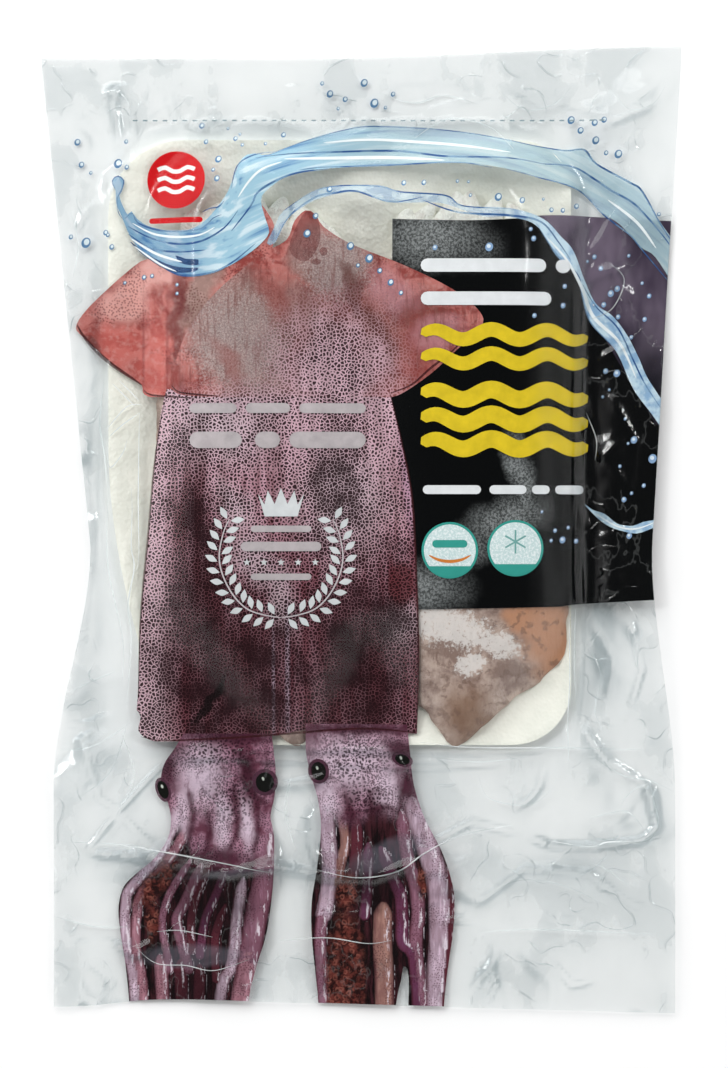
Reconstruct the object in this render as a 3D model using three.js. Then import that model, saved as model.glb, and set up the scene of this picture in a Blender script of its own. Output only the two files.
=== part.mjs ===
// A clear vacuum pouch of whole raw squid on a tray, lying on its back with the printed side up.
// Millimetres, +Z up, +Y towards the pouch's top seal. The origin is on the resting face, under the
// middle of the pouch.
//
// The pouch is one sealed thing, so it is one closed solid. The front film is drawn down over two squid
// that lie side by side, heads up and tails down, and over the tray's margin. Round the tray the two films
// lie together as a thin border, which is drawn in and lifted at the waist, where the contents are thick.

import * as THREE from "three";
import { mergeVertices } from "three/addons/utils/BufferGeometryUtils.js";

// ---- driving dimensions ----

const POUCH = { halfWidth: 109.8, topLeft: 161.4, topRise: 4.2, bottomLeft: 161.0, bottomFall: 4.6 };
const WAIST = { left: -92.8, leftY: -5, right: 99.4, rightY: -8 }; // where the sides are drawn in most
const FOOT = { left: -105.4, right: 107.5, reach: 84 }; // the side edges this far below the waist

const TRAY = { left: -87, right: 72.5, bottom: -76, top: 134.5, corner: 28, height: 3.2, skirt: 6 };
const SQUID = {
  tipY: -74, // the pointed tail
  finY: -29, // the widest place of the fins
  mantleY: 1, // from here up the mantle is straight
  neckY: 96, // above it the head and the folded arms close to a round end
  topY: 131,
  finHalf: 36.5,
  mantleHalf: 34.5,
  tailCurve: 0.85, // below 1 the sides of the tail are slightly full
  endCurve: 2.4, // above 2 the head end is slightly square
};
const THICKNESS = {
  tail: 6,
  mantle: 17.2,
  head: 14.5,
  tailReach: 70, // the tail takes this long to reach the mantle's thickness
  headY: 72, // the mantle starts to thin here
  headReach: 34,
  flatness: 3.6, // of the cross-section: 2 is round
  shoulder: 0.55,
};
const SQUIDS = [
  { axis: -36, tailAxis: -25 },
  { axis: 36, tailAxis: 35 },
];
const ICE = { left: -54, right: 54, bottom: -30, top: 120, height: 12.5 }; // frozen between the two
const DRAPE = { radii: [3.4, 6.8], count: 8 }; // how the stretched film bridges a hollow or a step

const FILM_PAIR = 0.9; // two films and the air wrinkles that are too fine to model
const WAIST_LIFT = { height: 4.2, reach: 52, inset: 18 };
const WAVE = { height: 0.9, across: 57, along: 46, inset: 24 };

// A ridge of gathered film: it runs from one point to the other and fades at both ends.
const RIDGE_FADE = 8; // it rises over an eighth of its length
const RIDGES = [
  { from: [-104, -112], to: [100, -120], height: 2.4, width: 5.0 },
  { from: [-105, -141], to: [106, -141], height: 1.5, width: 5.5 },
  { from: [-66, -84], to: [70, -83], height: 2.2, width: 4.0 },
  { from: [74, -66], to: [104, -112], height: 2.8, width: 4.5 },
  { from: [-82, -66], to: [-106, -92], height: 2.8, width: 5.0 },
  { from: [-86, -40], to: [-102, -62], height: 2.2, width: 4.5 },
  { from: [-80, 128], to: [-104, 156], height: 2.4, width: 5.5 },
  { from: [72, 130], to: [104, 158], height: 2.4, width: 5.5 },
  { from: [84, -62], to: [86, 112], height: 2.0, width: 3.6 },
];

// The grid's lines, from edge to edge: closer where the film turns down.
const COLUMNS = { at: [-90, -64, 62, 82], counts: [3, 6, 22, 6, 4] };
const ROWS = { at: [-86, -54, 112, 142], counts: [13, 8, 24, 7, 3] };

// ---- small helpers ----

const clamp01 = (t) => Math.min(1, Math.max(0, t));
const smooth = (t) => clamp01(t) ** 2 * (3 - 2 * clamp01(t));
const mix = THREE.MathUtils.lerp;
const bell = (d, width) => Math.exp(-((d / width) ** 2));
const sum = (numbers) => numbers.reduce((a, b) => a + b, 0);

// ---- the pouch's outline, as seen from above ----

/** How far out a side edge is at height y: straight above the waist, and a soft curve below it. */
function sideX(y, corner, cornerY, waist, waistY, foot) {
  const above = clamp01((y - waistY) / (cornerY - waistY));
  const below = smooth((waistY - y) / FOOT.reach);
  return waist + (corner - waist) * above + (foot - waist) * below;
}
function leftX(y) {
  return sideX(y, -POUCH.halfWidth, POUCH.topLeft, WAIST.left, WAIST.leftY, FOOT.left);
}
function rightX(y) {
  const cornerY = POUCH.topLeft + POUCH.topRise;
  return sideX(y, POUCH.halfWidth, cornerY, WAIST.right, WAIST.rightY, FOOT.right);
}
const topY = (x) => POUCH.topLeft + POUCH.topRise * smooth((x + 20) / 130);
const bottomY = (x) => -POUCH.bottomLeft - POUCH.bottomFall * clamp01((x + 60) / 168)
  - POUCH.bottomFall / 2 * smooth((-70 - x) / 36);

// ---- heights ----

/** Distance of a point outside the tray's rounded rectangle, negative inside it. */
function outsideTray(x, y) {
  const dx = Math.max(TRAY.left + TRAY.corner - x, x - TRAY.right + TRAY.corner);
  const dy = Math.max(TRAY.bottom + TRAY.corner - y, y - TRAY.top + TRAY.corner);
  const inside = Math.min(Math.max(dx, dy), 0);
  return Math.hypot(Math.max(dx, 0), Math.max(dy, 0)) + inside - TRAY.corner;
}

/** Half of a squid's width: a pointed tail, two fins, a straight mantle and a round end of folded arms. */
function squidHalfWidth(y) {
  const { tipY, finY, mantleY, neckY, topY: endY } = SQUID;
  if (y < finY) return SQUID.finHalf * clamp01((y - tipY) / (finY - tipY)) ** SQUID.tailCurve;
  if (y < neckY) return mix(SQUID.finHalf, SQUID.mantleHalf, smooth((y - finY) / (mantleY - finY)));
  return SQUID.mantleHalf * Math.sqrt(1 - clamp01((y - neckY) / (endY - neckY)) ** SQUID.endCurve);
}

/** Height of one squid above the tray. */
function squidHeight(squid, x, y) {
  const half = squidHalfWidth(y);
  if (half <= 0) return 0;
  const axis = mix(squid.axis, squid.tailAxis, smooth(y / SQUID.tipY));
  const off = Math.abs(x - axis) / half;
  if (off >= 1) return 0;
  const fromTail = smooth((y - SQUID.tipY) / THICKNESS.tailReach);
  const towardsHead = smooth((y - THICKNESS.headY) / THICKNESS.headReach);
  const crown = mix(mix(THICKNESS.tail, THICKNESS.mantle, fromTail), THICKNESS.head, towardsHead);
  return crown * (1 - off ** THICKNESS.flatness) ** THICKNESS.shoulder;
}

/** Height above the tray of whatever is highest at a point. */
function bareHeight(x, y) {
  const inIce = x > ICE.left && x < ICE.right && y > ICE.bottom && y < ICE.top;
  return Math.max(inIce ? ICE.height : 0, ...SQUIDS.map((squid) => squidHeight(squid, x, y)));
}

/** Height of the contents, softened as a stretched film softens what it lies on. */
function contentsHeight(x, y) {
  const samples = [bareHeight(x, y)];
  for (const radius of DRAPE.radii) {
    for (let i = 0; i < DRAPE.count; i += 1) {
      const angle = i / DRAPE.count * 2 * Math.PI;
      samples.push(bareHeight(x + radius * Math.cos(angle), y + radius * Math.sin(angle)));
    }
  }
  return sum(samples) / samples.length;
}

/** Height of the back film: flat under the tray, in low waves round it, and lifted at the waist. */
function lift(x, y) {
  const out = outsideTray(x, y);
  const waist = WAIST_LIFT.height * bell(y - WAIST.leftY, WAIST_LIFT.reach) * smooth(out / WAIST_LIFT.inset);
  const wave = 1 + Math.sin(x / WAVE.across * Math.PI) * Math.cos(y / WAVE.along * Math.PI);
  return waist + WAVE.height * wave * smooth(out / WAVE.inset);
}

/** Height that one ridge adds at a point. */
function ridgeHeight(ridge, x, y) {
  const along = new THREE.Vector2(ridge.to[0] - ridge.from[0], ridge.to[1] - ridge.from[1]);
  const here = new THREE.Vector2(x - ridge.from[0], y - ridge.from[1]);
  const t = here.dot(along) / along.lengthSq();
  const off = here.cross(along) / along.length();
  return ridge.height * bell(off, ridge.width) * smooth(t * RIDGE_FADE) * smooth((1 - t) * RIDGE_FADE);
}

/** Height of the front film. */
function frontHeight(x, y) {
  const out = outsideTray(x, y);
  const overTray = TRAY.height * (1 - smooth(out / TRAY.skirt));
  const gathered = sum(RIDGES.map((ridge) => ridgeHeight(ridge, x, y))) * smooth(out / TRAY.skirt);
  return lift(x, y) + FILM_PAIR + overTray + contentsHeight(x, y) + gathered;
}

// ---- the solid ----

/** Places of the grid's lines between two edges: equal steps within each band. */
function lines(first, at, last, counts) {
  const edges = [first, ...at, last];
  const places = [first];
  counts.forEach((count, band) => {
    for (let i = 1; i <= count; i += 1) places.push(mix(edges[band], edges[band + 1], i / count));
  });
  return places;
}
const columnsAt = (y) => lines(leftX(y), COLUMNS.at, rightX(y), COLUMNS.counts);
const rowsAt = (x) => lines(bottomY(x), ROWS.at, topY(x), ROWS.counts);

/** A gridded box whose lines are moved to the pouch's outline and whose two faces take their heights. */
function pouchGeometry() {
  const nx = sum(COLUMNS.counts);
  const ny = sum(ROWS.counts);
  const box = new THREE.BoxGeometry(1, 1, 1, nx, ny, 1);
  box.deleteAttribute("normal");
  box.deleteAttribute("uv");
  const geometry = mergeVertices(box, 1e-4);
  const position = geometry.attributes.position;
  const straight = columnsAt(TRAY.top);
  for (let v = 0; v < position.count; v += 1) {
    const column = Math.round((position.getX(v) + 0.5) * nx);
    const row = Math.round((position.getY(v) + 0.5) * ny);
    const isFront = position.getZ(v) > 0;
    const y = rowsAt(straight[column])[row];
    const x = columnsAt(y)[column];
    position.setXYZ(v, x, y, isFront ? frontHeight(x, y) : lift(x, y));
  }
  geometry.computeVertexNormals();
  return geometry;
}

const clearFilm = new THREE.MeshStandardMaterial({
  name: "clear_film",
  color: 0xb9aeb0,
  roughness: 0.15,
  metalness: 0,
});

const pouch = new THREE.Mesh(pouchGeometry(), clearFilm);
pouch.name = "sealed_pouch";

const group = new THREE.Group();
group.add(pouch);

export default group;
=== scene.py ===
"""A sealed vacuum pouch of two frozen raw squid on a foam tray, lying on its back, printed side up.

Lengths and places are in millimetres until they reach Blender. +Y points to the pouch's top seal.
"""
import math

import bmesh
import bpy
from mathutils import Matrix, Vector, noise
from mathutils.bvhtree import BVHTree
from mathutils.kdtree import KDTree


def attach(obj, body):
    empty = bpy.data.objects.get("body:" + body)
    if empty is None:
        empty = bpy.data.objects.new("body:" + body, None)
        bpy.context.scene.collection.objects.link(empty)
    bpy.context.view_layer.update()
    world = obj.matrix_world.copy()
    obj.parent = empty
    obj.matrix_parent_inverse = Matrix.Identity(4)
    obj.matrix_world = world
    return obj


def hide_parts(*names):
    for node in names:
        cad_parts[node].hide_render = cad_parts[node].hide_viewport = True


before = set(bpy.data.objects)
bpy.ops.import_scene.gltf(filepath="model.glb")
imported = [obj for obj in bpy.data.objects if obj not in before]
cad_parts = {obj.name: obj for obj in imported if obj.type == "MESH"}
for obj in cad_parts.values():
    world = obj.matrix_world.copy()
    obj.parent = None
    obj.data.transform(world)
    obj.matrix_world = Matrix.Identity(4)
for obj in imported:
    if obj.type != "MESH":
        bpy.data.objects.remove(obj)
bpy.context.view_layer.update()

# ---- The studio ----
# A long lens looks straight down on the pouch, which lies on a matt white sheet. Large soft lights stand
# round the lens, low enough that flat film stays clear and every small fold catches one of them.
MM = 0.001
LENS = 200
SENSOR = 36
FIELD = 366.3  # what the view takes in from its top to its bottom
VIEW_CENTRE = (0.86, -1.37)
SHEET_SIZE = 6000
SHEET_GAP = 0.3  # below the pouch
SHARP_EDGE = 50  # degrees
TENT = [(0, 1), (0.38, 1), (0.62, 0.32), (0.82, 0.06), (1, 0.03)]  # brightness, horizon to zenith
TENT_LIGHT = 1.72
SOFTBOXES = [  # direction in the plan, tilt from upright, distance, width, height, power in watts
    ("window", 112, 44, 1700, 1500, 900, 15),
    ("spark_left", 152, 44, 1700, 260, 200, 4.2),
    ("spark_right", 32, 40, 1700, 260, 200, 3.6),
]


def linked(name, held):
    """An object in the scene that holds a mesh, a lamp or a camera."""
    made = bpy.data.objects.new(name, held)
    bpy.context.collection.objects.link(made)
    return made


def look_down():
    camera = bpy.data.cameras.new("camera")
    camera.sensor_fit = "VERTICAL"
    camera.sensor_height = SENSOR
    camera.lens = LENS
    eye = linked("camera", camera)
    eye.location = (VIEW_CENTRE[0] * MM, VIEW_CENTRE[1] * MM, FIELD * LENS / SENSOR * MM)
    bpy.context.scene.camera = eye


def softbox(name, plan, tilt, distance, width, height, power):
    lamp = bpy.data.lights.new(name, "AREA")
    lamp.shape = "RECTANGLE"
    lamp.size = width * MM
    lamp.size_y = height * MM
    lamp.energy = power
    stand = linked(name, lamp)
    plan, tilt = math.radians(plan), math.radians(tilt)
    towards = Vector((math.cos(plan) * math.sin(tilt), math.sin(plan) * math.sin(tilt), math.cos(tilt)))
    stand.location = towards * distance * MM
    stand.rotation_euler = towards.to_track_quat("Z", "Y").to_euler()


class Flow:
    """A value in a material. Sums and products of values add their Math nodes."""

    def __init__(self, tree, socket=None):
        self.tree = tree
        self.socket = socket

    def node(self, kind, inputs=None, output=0, stops=None, **settings):
        """Any other node: its settings are set first, then the values or links of its sockets."""
        made = self.tree.nodes.new("ShaderNode" + kind)
        for name, value in settings.items():
            setattr(made, name, value)
        if stops:
            elements = made.color_ramp.elements
            while len(elements) < len(stops):
                elements.new(1)
            for element, (place, colour) in zip(elements, stops):
                element.position = place
                element.color = colour
        for name, value in (inputs or {}).items():
            if isinstance(value, Flow):
                self.tree.links.new(value.socket, made.inputs[name])
            else:
                made.inputs[name].default_value = value
        return Flow(self.tree, made.outputs[output] if len(made.outputs) else None)

    def math(self, operation, *values):
        return self.node("Math", dict(enumerate(values)), operation=operation)

    def part(self, axis):
        return self.node("SeparateXYZ", {0: self}, output=axis)

    def __add__(self, other):
        return self.math("ADD", self, other)

    def __sub__(self, other):
        return self.math("SUBTRACT", self, other)

    def __rsub__(self, other):
        return self.math("SUBTRACT", other, self)

    def __mul__(self, other):
        return self.math("MULTIPLY", self, other)

    def __truediv__(self, other):
        return self.math("DIVIDE", self, other)

    def __pow__(self, other):
        return self.math("POWER", self, other)

    __radd__ = __add__
    __rmul__ = __mul__


def rgb(red, green, blue):
    """A colour as the eye reads it, 0 to 255, as the renderer's linear one."""
    parts = [channel / 255 for channel in (red, green, blue)]
    return (*[part / 12.92 if part < 0.04 else ((part + 0.055) / 1.055) ** 2.4 for part in parts], 1)


def finish(name, recipe):
    """A material whose surface is what recipe returns for the place on the piece, in millimetres."""
    material = bpy.data.materials.new(name)
    material.use_nodes = True
    tree = material.node_tree
    tree.nodes.clear()
    place = Flow(tree).node("TexCoord", output="Object")
    here = place.node("VectorMath", {0: place, "Scale": 1 / MM}, operation="SCALE")
    here.node("OutputMaterial", {"Surface": recipe(here)})
    return material


def mesh_of(name, shape):
    mesh = bpy.data.meshes.new(name)
    shape.to_mesh(mesh)
    shape.free()
    return mesh


def shown(name, made, material, slot=None):
    """A finished piece from a mesh or a bmesh: smooth except at its real edges, and on the pouch's body."""
    mesh = mesh_of(name, made) if isinstance(made, bmesh.types.BMesh) else made
    mesh.shade_smooth()
    mesh.set_sharp_from_angle(angle=math.radians(SHARP_EDGE))
    mesh.materials.clear()
    mesh.materials.append(material)
    piece = linked(name, mesh)
    if slot:
        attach(piece, "root")
    return piece


def white_sheet(here):
    return here.node("BsdfPrincipled", {"Base Color": rgb(250, 250, 250), "Roughness": 0.9,
                                        "Specular IOR Level": 0})


def tent():
    """A white tent round the table, open at the top, where the lens looks in."""
    world = bpy.data.worlds.new("tent")
    world.use_nodes = True
    world.node_tree.nodes.clear()
    ray = Flow(world.node_tree).node("TexCoord", output="Generated")
    height = ray.part("Z")
    stops = [(place, (light, light, light, 1)) for place, light in TENT]
    cloth = height.node("ValToRGB", {"Fac": height}, stops=stops)
    glow = cloth.node("Background", {"Color": cloth, "Strength": TENT_LIGHT})
    glow.node("OutputWorld", {"Surface": glow})
    bpy.context.scene.world = world


def studio():
    scene = bpy.context.scene
    scene.view_settings.view_transform = "Standard"
    scene.cycles.transparent_max_bounces = 32
    tent()
    look_down()
    for box in SOFTBOXES:
        softbox(*box)
    sheet = bmesh.new()
    bmesh.ops.create_grid(sheet, x_segments=2, y_segments=2, size=SHEET_SIZE / 2 * MM)
    bmesh.ops.translate(sheet, verts=sheet.verts, vec=(0, 0, -SHEET_GAP * MM))
    shown("white_sheet", sheet, finish("white_sheet", white_sheet))


studio()

# ---- The clear film ----
# A front and a back film of clear laminate, welded along all four sides, with the air drawn out. The
# front one is stretched over the squid and the tray's margin, and both are gathered into creases round
# them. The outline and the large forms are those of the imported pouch; the small folds are made here.
CELLS = (170, 255)
SEALS = {"left": -96.5, "right": 101.4, "top": 151.5, "band": (-134, -142)}
TRAY_EDGE = {"left": -87, "right": 72, "bottom": -75, "top": 134, "corner": 26}
CREASES = [  # height, half width, and the points that the crease runs through
    (1, 0.9, [(70.6, 106), (71, 40), (71.4, -25), (70.4, -76)]),
    (0.8, 0.8, [(74, 108), (74.6, 30), (75.2, -40), (72.4, -78)]),
    (0.5, 0.8, [(-72, 98), (-73.5, 30), (-77.5, -30), (-80.5, -66)]),
    (0.5, 0.8, [(-66, 60), (-69, 20)]),
    (0.9, 1, [(-86, 60), (-88, 10), (-84, -30), (-80, -62)]),
    (0.9, 0.9, [(-74, -72), (-40, -75.4), (0, -75), (40, -76.4), (66, -75)]),
    (0.8, 0.9, [(-60, -77.5), (-20, -79), (20, -81.5), (52, -79.5)]),
    (1.3, 1.2, [(-95.2, -110.4), (-67.4, -112.8), (-45.1, -117.7), (-29.7, -115.2), (-16, -117.7),
        (4, -119.5), (22, -112.5)]),
    (1.3, 1.2, [(55.7, -104.6), (65.3, -108.4), (80.1, -108.7), (96.2, -106.3), (101, -102), (99.3, -86)]),
    (0.9, 1, [(22, -108), (38, -100), (55.7, -104.6)]),
    (0.9, 1, [(74, -66), (84, -79), (97, -87), (100, -101)]),
    (0.8, 0.9, [(-80, -62), (-97, -67), (-104, -66)]),
    (0.8, 0.9, [(-96, -70), (-90, -92), (-83, -96), (-66, -78)]),
    (0.8, 0.9, [(-83, -96), (-96, -112)]),
    (0.8, 0.9, [(-84.5, -96), (-70, -110)]),
    (0.7, 0.9, [(-92, 148), (-86, 150), (-80, 146), (-78, 138), (-76, 122)]),
    (0.5, 0.8, [(-60, 142), (-52, 138), (-40, 142)]),
    (0.6, 0.8, [(44, 146), (52, 137), (50, 128), (64, 126)]),
    (0.6, 0.8, [(20, 143), (34, 147), (48, 150)]),
    (0.6, 0.9, [(60, 149), (78, 144), (86, 140), (102, 146)]),
    (0.7, 0.9, [(82, 100), (88, 84), (96, 78), (92, 64), (80, 58)]),
    (0.7, 0.9, [(76, 46), (82, 26), (92, 14), (94, 30), (84, 48)]),
    (0.7, 0.9, [(77, -30), (86, -44), (84, -60)]),
    (0.7, 0.9, [(92, -30), (96, -48), (92, -62)]),
    (0.8, 1, [(40, -128), (56, -116), (78, -118), (92, -128), (100, -131)]),
    (0.8, 1, [(-96, -146), (-88, -152), (-84, -160)]),
    (0.8, 1, [(44, -146), (46, -156), (42, -164)]),
    (0.8, 1, [(64, -146), (72, -156), (82, -154)]),
    (0.7, 0.8, [(-78, -144), (-71, -149.6), (-62, -150.8), (-53, -150.5), (-44, -152.4)]),
    (0.6, 0.8, [(-18, -132.6), (-5.5, -132.4), (0, -131.2), (5.3, -129.3), (12, -130.2), (30, -127)]),
]
CREASE_FADE = 6  # a crease rises over this length at each end
CREASE_REACH = 4  # and is felt this far from its line
CRUMPLE = {  # size of the noise, how narrow its ridges are, and their height
    "wide": (21, 0.12, 0.95), "narrow": (11, 0.15, 0.34), "soft": (23, 0.8), "cling": (9, 0.05),
    "fine": (4, 0.012)}
FOLD_WARP = (26, 6)  # the folds wander: over this length, and this far
WELD_FLATNESS = 0.78
FILM_GAP = 0.63  # the least between the two films
LOOSE_FROM = 8  # this far outside the tray the back film follows the folds of the front one
HALVINGS = 14  # steps of a search for an edge
SMOOTHING = 7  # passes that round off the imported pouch's own flat faces
SIDE_ROWS, TOP_COLUMNS, BOTTOM_COLUMNS = range(-160, 162), range(-109, 110), range(-104, 107)
JUST_INSIDE = 0.9985  # of a place's distance from the middle
PAST_SIDE, PAST_END = 130, 180
NEAR_TOP, NEAR_BOTTOM = 150, -140
SKY = 500
noise.seed_set(5)  # without a seed, noise_vector differs from run to run


def smooth(share):
    share = min(max(share, 0), 1)
    return share * share * (3 - 2 * share)


def outside_tray(x, y):
    """Distance of a point outside the tray's rounded rectangle, negative inside it."""
    corner = TRAY_EDGE["corner"]
    dx = max(TRAY_EDGE["left"] + corner - x, x - TRAY_EDGE["right"] + corner)
    dy = max(TRAY_EDGE["bottom"] + corner - y, y - TRAY_EDGE["top"] + corner)
    return math.hypot(max(dx, 0), max(dy, 0)) + min(max(dx, dy), 0) - corner


def plumb(tree, x, y, upwards=False):
    """Height at which a plumb line meets a surface from above, or from below, or None where it misses."""
    way = 1 if upwards else -1
    hit = tree.ray_cast(Vector((x, y, -SKY * way)), Vector((0, 0, way)))[0]
    return None if hit is None else hit.z


def surface(tree, x, y, upwards=False):
    """The same for a point of the pouch. On its very edge the nearest height stands in for a miss."""
    height = plumb(tree, x * JUST_INSIDE, y * JUST_INSIDE, upwards)
    if height is None:
        height = tree.find_nearest(Vector((x, y, 0)))[0].z
    return height


def edge_of(tree, start, end):
    """How far one can go from start to end and still be on the pouch."""
    start, end = Vector(start), Vector(end)
    near, far = 0, 1
    for _ in range(HALVINGS):
        half = (near + far) / 2
        if plumb(tree, *start.lerp(end, half)) is None:
            far = half
        else:
            near = half
    return start.lerp(end, near)


def along(table, first, place):
    """A table's value, with a step of 1 mm from first, held past its ends."""
    place = min(max(place - first, 0), len(table) - 1.001)
    below = int(place)
    return table[below] + (table[below + 1] - table[below]) * (place - below)


def crumple(x, y):
    """Height of the small folds: sharp where the film is loose, and faint where it is stretched."""
    out = outside_tray(x, y)
    loose = smooth((out + 1) / 7)
    weld = max(smooth((SEALS["left"] - x) / 2), smooth((x - SEALS["right"]) / 2),
               smooth((y - SEALS["top"]) / 2),
               smooth((SEALS["band"][0] - y) / 2) * smooth((y - SEALS["band"][1]) / 2))
    at = Vector((x, y, 7))
    at += noise.noise_vector(at / FOLD_WARP[0]) * FOLD_WARP[1]

    def ridges(kind, shift):
        size, sharpness, height = CRUMPLE[kind]
        return math.exp(-(noise.noise((at + Vector(shift)) / size) / sharpness) ** 2) * height

    def swells(kind):
        size, height = CRUMPLE[kind]
        return noise.noise(at / size) * height

    patchy = smooth(0.45 + 1.6 * noise.noise((at + Vector((0, 70, 9))) / 24))
    folds = (ridges("wide", (0, 0, 0)) + ridges("narrow", (90, 40, 0))) * patchy + swells("soft")
    return loose * (1 - WELD_FLATNESS * weld) * folds + (swells("cling") + swells("fine"))


def crease_height(crease, x, y):
    """Height of a crease at a place. It fades in and out over its ends."""
    height, width, points = crease
    lengths = [(Vector(b) - Vector(a)).length for a, b in zip(points, points[1:])]
    best = gone = 0
    for a, b, length in zip(points, points[1:], lengths):
        step = (Vector(b) - Vector(a)) / length
        off = Vector((x, y)) - Vector(a)
        t = min(max(off.dot(step), 0), length)
        far = (off - step * t).length
        ends = smooth((gone + t) / CREASE_FADE) * smooth((sum(lengths) - gone - t) / CREASE_FADE)
        best = max(best, ends * math.exp(-(far / width) ** 2 * 0.7))
        gone += length
    return height * best


def crease_box(crease):
    xs, ys = zip(*crease[2])
    reach = CREASE_REACH
    return min(xs) - reach, max(xs) + reach, min(ys) - reach, max(ys) + reach


def resized(shape, factor):
    bmesh.ops.scale(shape, verts=shape.verts, vec=(factor, factor, factor))
    return shape


def second_layer(shape, faces, keep=True):
    """A second layer pulled out of some faces, with walls round it: its vertices."""
    pulled = bmesh.ops.extrude_face_region(shape, geom=faces, use_keep_orig=keep)["geom"]
    return [vert for vert in pulled if isinstance(vert, bmesh.types.BMVert)]


def front_film():
    """The front film as an open grid, and the height of the back film under each of its points."""
    packed = bmesh.new()
    packed.from_mesh(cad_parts["sealed_pouch"].data)
    tree = BVHTree.FromBMesh(resized(packed, 1 / MM))
    packed.free()
    left, right = [[edge_of(tree, (0, y), (side * PAST_SIDE, y)).x for y in SIDE_ROWS]
                   for side in (-1, 1)]
    top = [edge_of(tree, (x, NEAR_TOP), (x, PAST_END)).y for x in TOP_COLUMNS]
    bottom = [edge_of(tree, (x, NEAR_BOTTOM), (x, -PAST_END)).y for x in BOTTOM_COLUMNS]
    film = bmesh.new()
    bmesh.ops.create_grid(film, x_segments=CELLS[0], y_segments=CELLS[1], size=0.5)
    backs = {}
    for vert in film.verts:
        u, v = vert.co.x + 0.5, vert.co.y + 0.5
        straight = left[-1] + (right[-1] - left[-1]) * u
        y = (along(bottom, BOTTOM_COLUMNS.start, straight) * (1 - v)
             + along(top, TOP_COLUMNS.start, straight) * v)
        x = along(left, SIDE_ROWS.start, y) * (1 - u) + along(right, SIDE_ROWS.start, y) * u
        backs[vert] = surface(tree, x, y, upwards=True)
        vert.co = (x, y, surface(tree, x, y))
    inner = [vert for vert in film.verts if not vert.is_boundary]
    for _ in range(SMOOTHING):
        bmesh.ops.smooth_vert(film, verts=inner, factor=0.5, use_axis_z=True)
    boxes = [(crease_box(crease), crease) for crease in CREASES]
    for vert in film.verts:
        x, y, _ = vert.co
        fold = crumple(x, y)
        for (west, east, south, north), crease in boxes:
            if west < x < east and south < y < north:
                fold += crease_height(crease, x, y)
        vert.co.z += fold
        flat = smooth(outside_tray(x, y) / LOOSE_FROM)
        backs[vert] = max(0, min(backs[vert] + fold * flat, vert.co.z - FILM_GAP))
    bmesh.ops.triangulate(film, faces=film.faces[:], quad_method="FIXED")
    return film, backs


def pouch_of(film, backs):
    """The closed pouch: the front film, the back film and the welded edge between them."""
    pouch = film.copy()
    below = {(round(vert.co.x, 3), round(vert.co.y, 3)): back for vert, back in backs.items()}
    for vert in second_layer(pouch, pouch.faces[:]):
        vert.co.z = below[(round(vert.co.x, 3), round(vert.co.y, 3))]
    bmesh.ops.recalc_face_normals(resized(pouch, MM), faces=pouch.faces)
    return pouch


def grain(here, size, detail=2, roughness=0.5, stretch=(1, 1), turn=0):
    """Soft noise about size across, drawn out and turned where asked."""
    place = here.node("Mapping", {"Vector": here, "Rotation": (0, 0, math.radians(turn)),
                                  "Scale": (1 / (size * stretch[0]), 1 / (size * stretch[1]), 1 / size)})
    return here.node("TexNoise", {"Vector": place, "Scale": 1, "Detail": detail, "Roughness": roughness},
                     noise_dimensions="2D")


def between(value, low, high):
    """0 at low, 1 at high and a soft step between them."""
    return value.node("MapRange", {"Value": value, "From Min": low, "From Max": high},
                      interpolation_type="SMOOTHSTEP")


def over_tray(here):
    """1 where the film is stretched over the tray, and 0 where it is loose."""
    x = here.part("X")
    y = here.part("Y")
    return (between(x, -93, -86) * between(x, 78, 70)) * (between(y, -80, -72) * between(y, 140, 132))


def clear_film(here):
    """Clear film: it darkens what is below it where it is steep, and mirrors the lights on its folds."""
    loose = 1 - over_tray(here)
    wander = grain(here, 13, 1)
    touching = grain(here, 30, 4, 0.6, (0.8, 1.2))
    middle = (wander - 0.5).math("ABSOLUTE", wander - 0.5)
    line = between(middle, 0.035, 0) * between(touching, 0.44, 0.58)
    folds = line * (0.006 + 0.11 * loose) + grain(here, 3.4, 0) * (0.014 + 0.036 * loose)
    normal = here.node("Bump", {"Height": folds, "Distance": MM, "Strength": 1})
    facing = here.node("LayerWeight", {"Blend": 0.5, "Normal": normal}, output="Facing")
    upright = normal.node("VectorMath", {0: normal, 1: (0, 0, 1)}, output="Value", operation="DOT_PRODUCT")
    slope = 1 - upright.math("ABSOLUTE", upright)
    islands = between(touching, 0.55, 0.56) * loose
    # A thin line along each island's rim, where the white haze thickens: painted highlights on their edges.
    painted_rim_lights = between(touching, 0.534, 0.546) * between(touching, 0.56, 0.55) * loose
    clear = here.node("BsdfTransparent", {"Color": (0.974, 0.982, 0.981, 1)})
    # The film is made darker where it is steep: painted shade along its folds.
    steep = here.node("BsdfTransparent", {"Color": (0.7, 0.735, 0.745, 1)})
    dim = between(slope, 0, 0.1) * (0.08 + 0.74 * loose) + islands * 0.11
    dim = dim + between(touching, 0.3, 0.6) * 0.07
    film = here.node("MixShader", {"Fac": dim, 1: clear, 2: steep})
    gloss = here.node("BsdfGlossy", {"Color": (1, 1, 1, 1), "Roughness": 0.11, "Normal": normal})
    film = here.node("MixShader", {"Fac": 0.013 + 0.02 * loose + 0.95 * facing ** 5, 1: film, 2: gloss})
    haze = here.node("BsdfPrincipled", {"Base Color": rgb(236, 241, 240), "Roughness": 0.3, "Normal": normal})
    # The haze is faint and even everywhere, and on the rims it is the painted highlight.
    return here.node("MixShader", {"Fac": 0.003 + painted_rim_lights * 0.035, 1: film, 2: haze})


film_grid, back_heights = front_film()
film_tree = BVHTree.FromBMesh(film_grid)
pouch_film = shown("pouch_film", pouch_of(film_grid, back_heights), finish("clear_film", clear_film),
                   "clear_film")
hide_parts("sealed_pouch")

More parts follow.
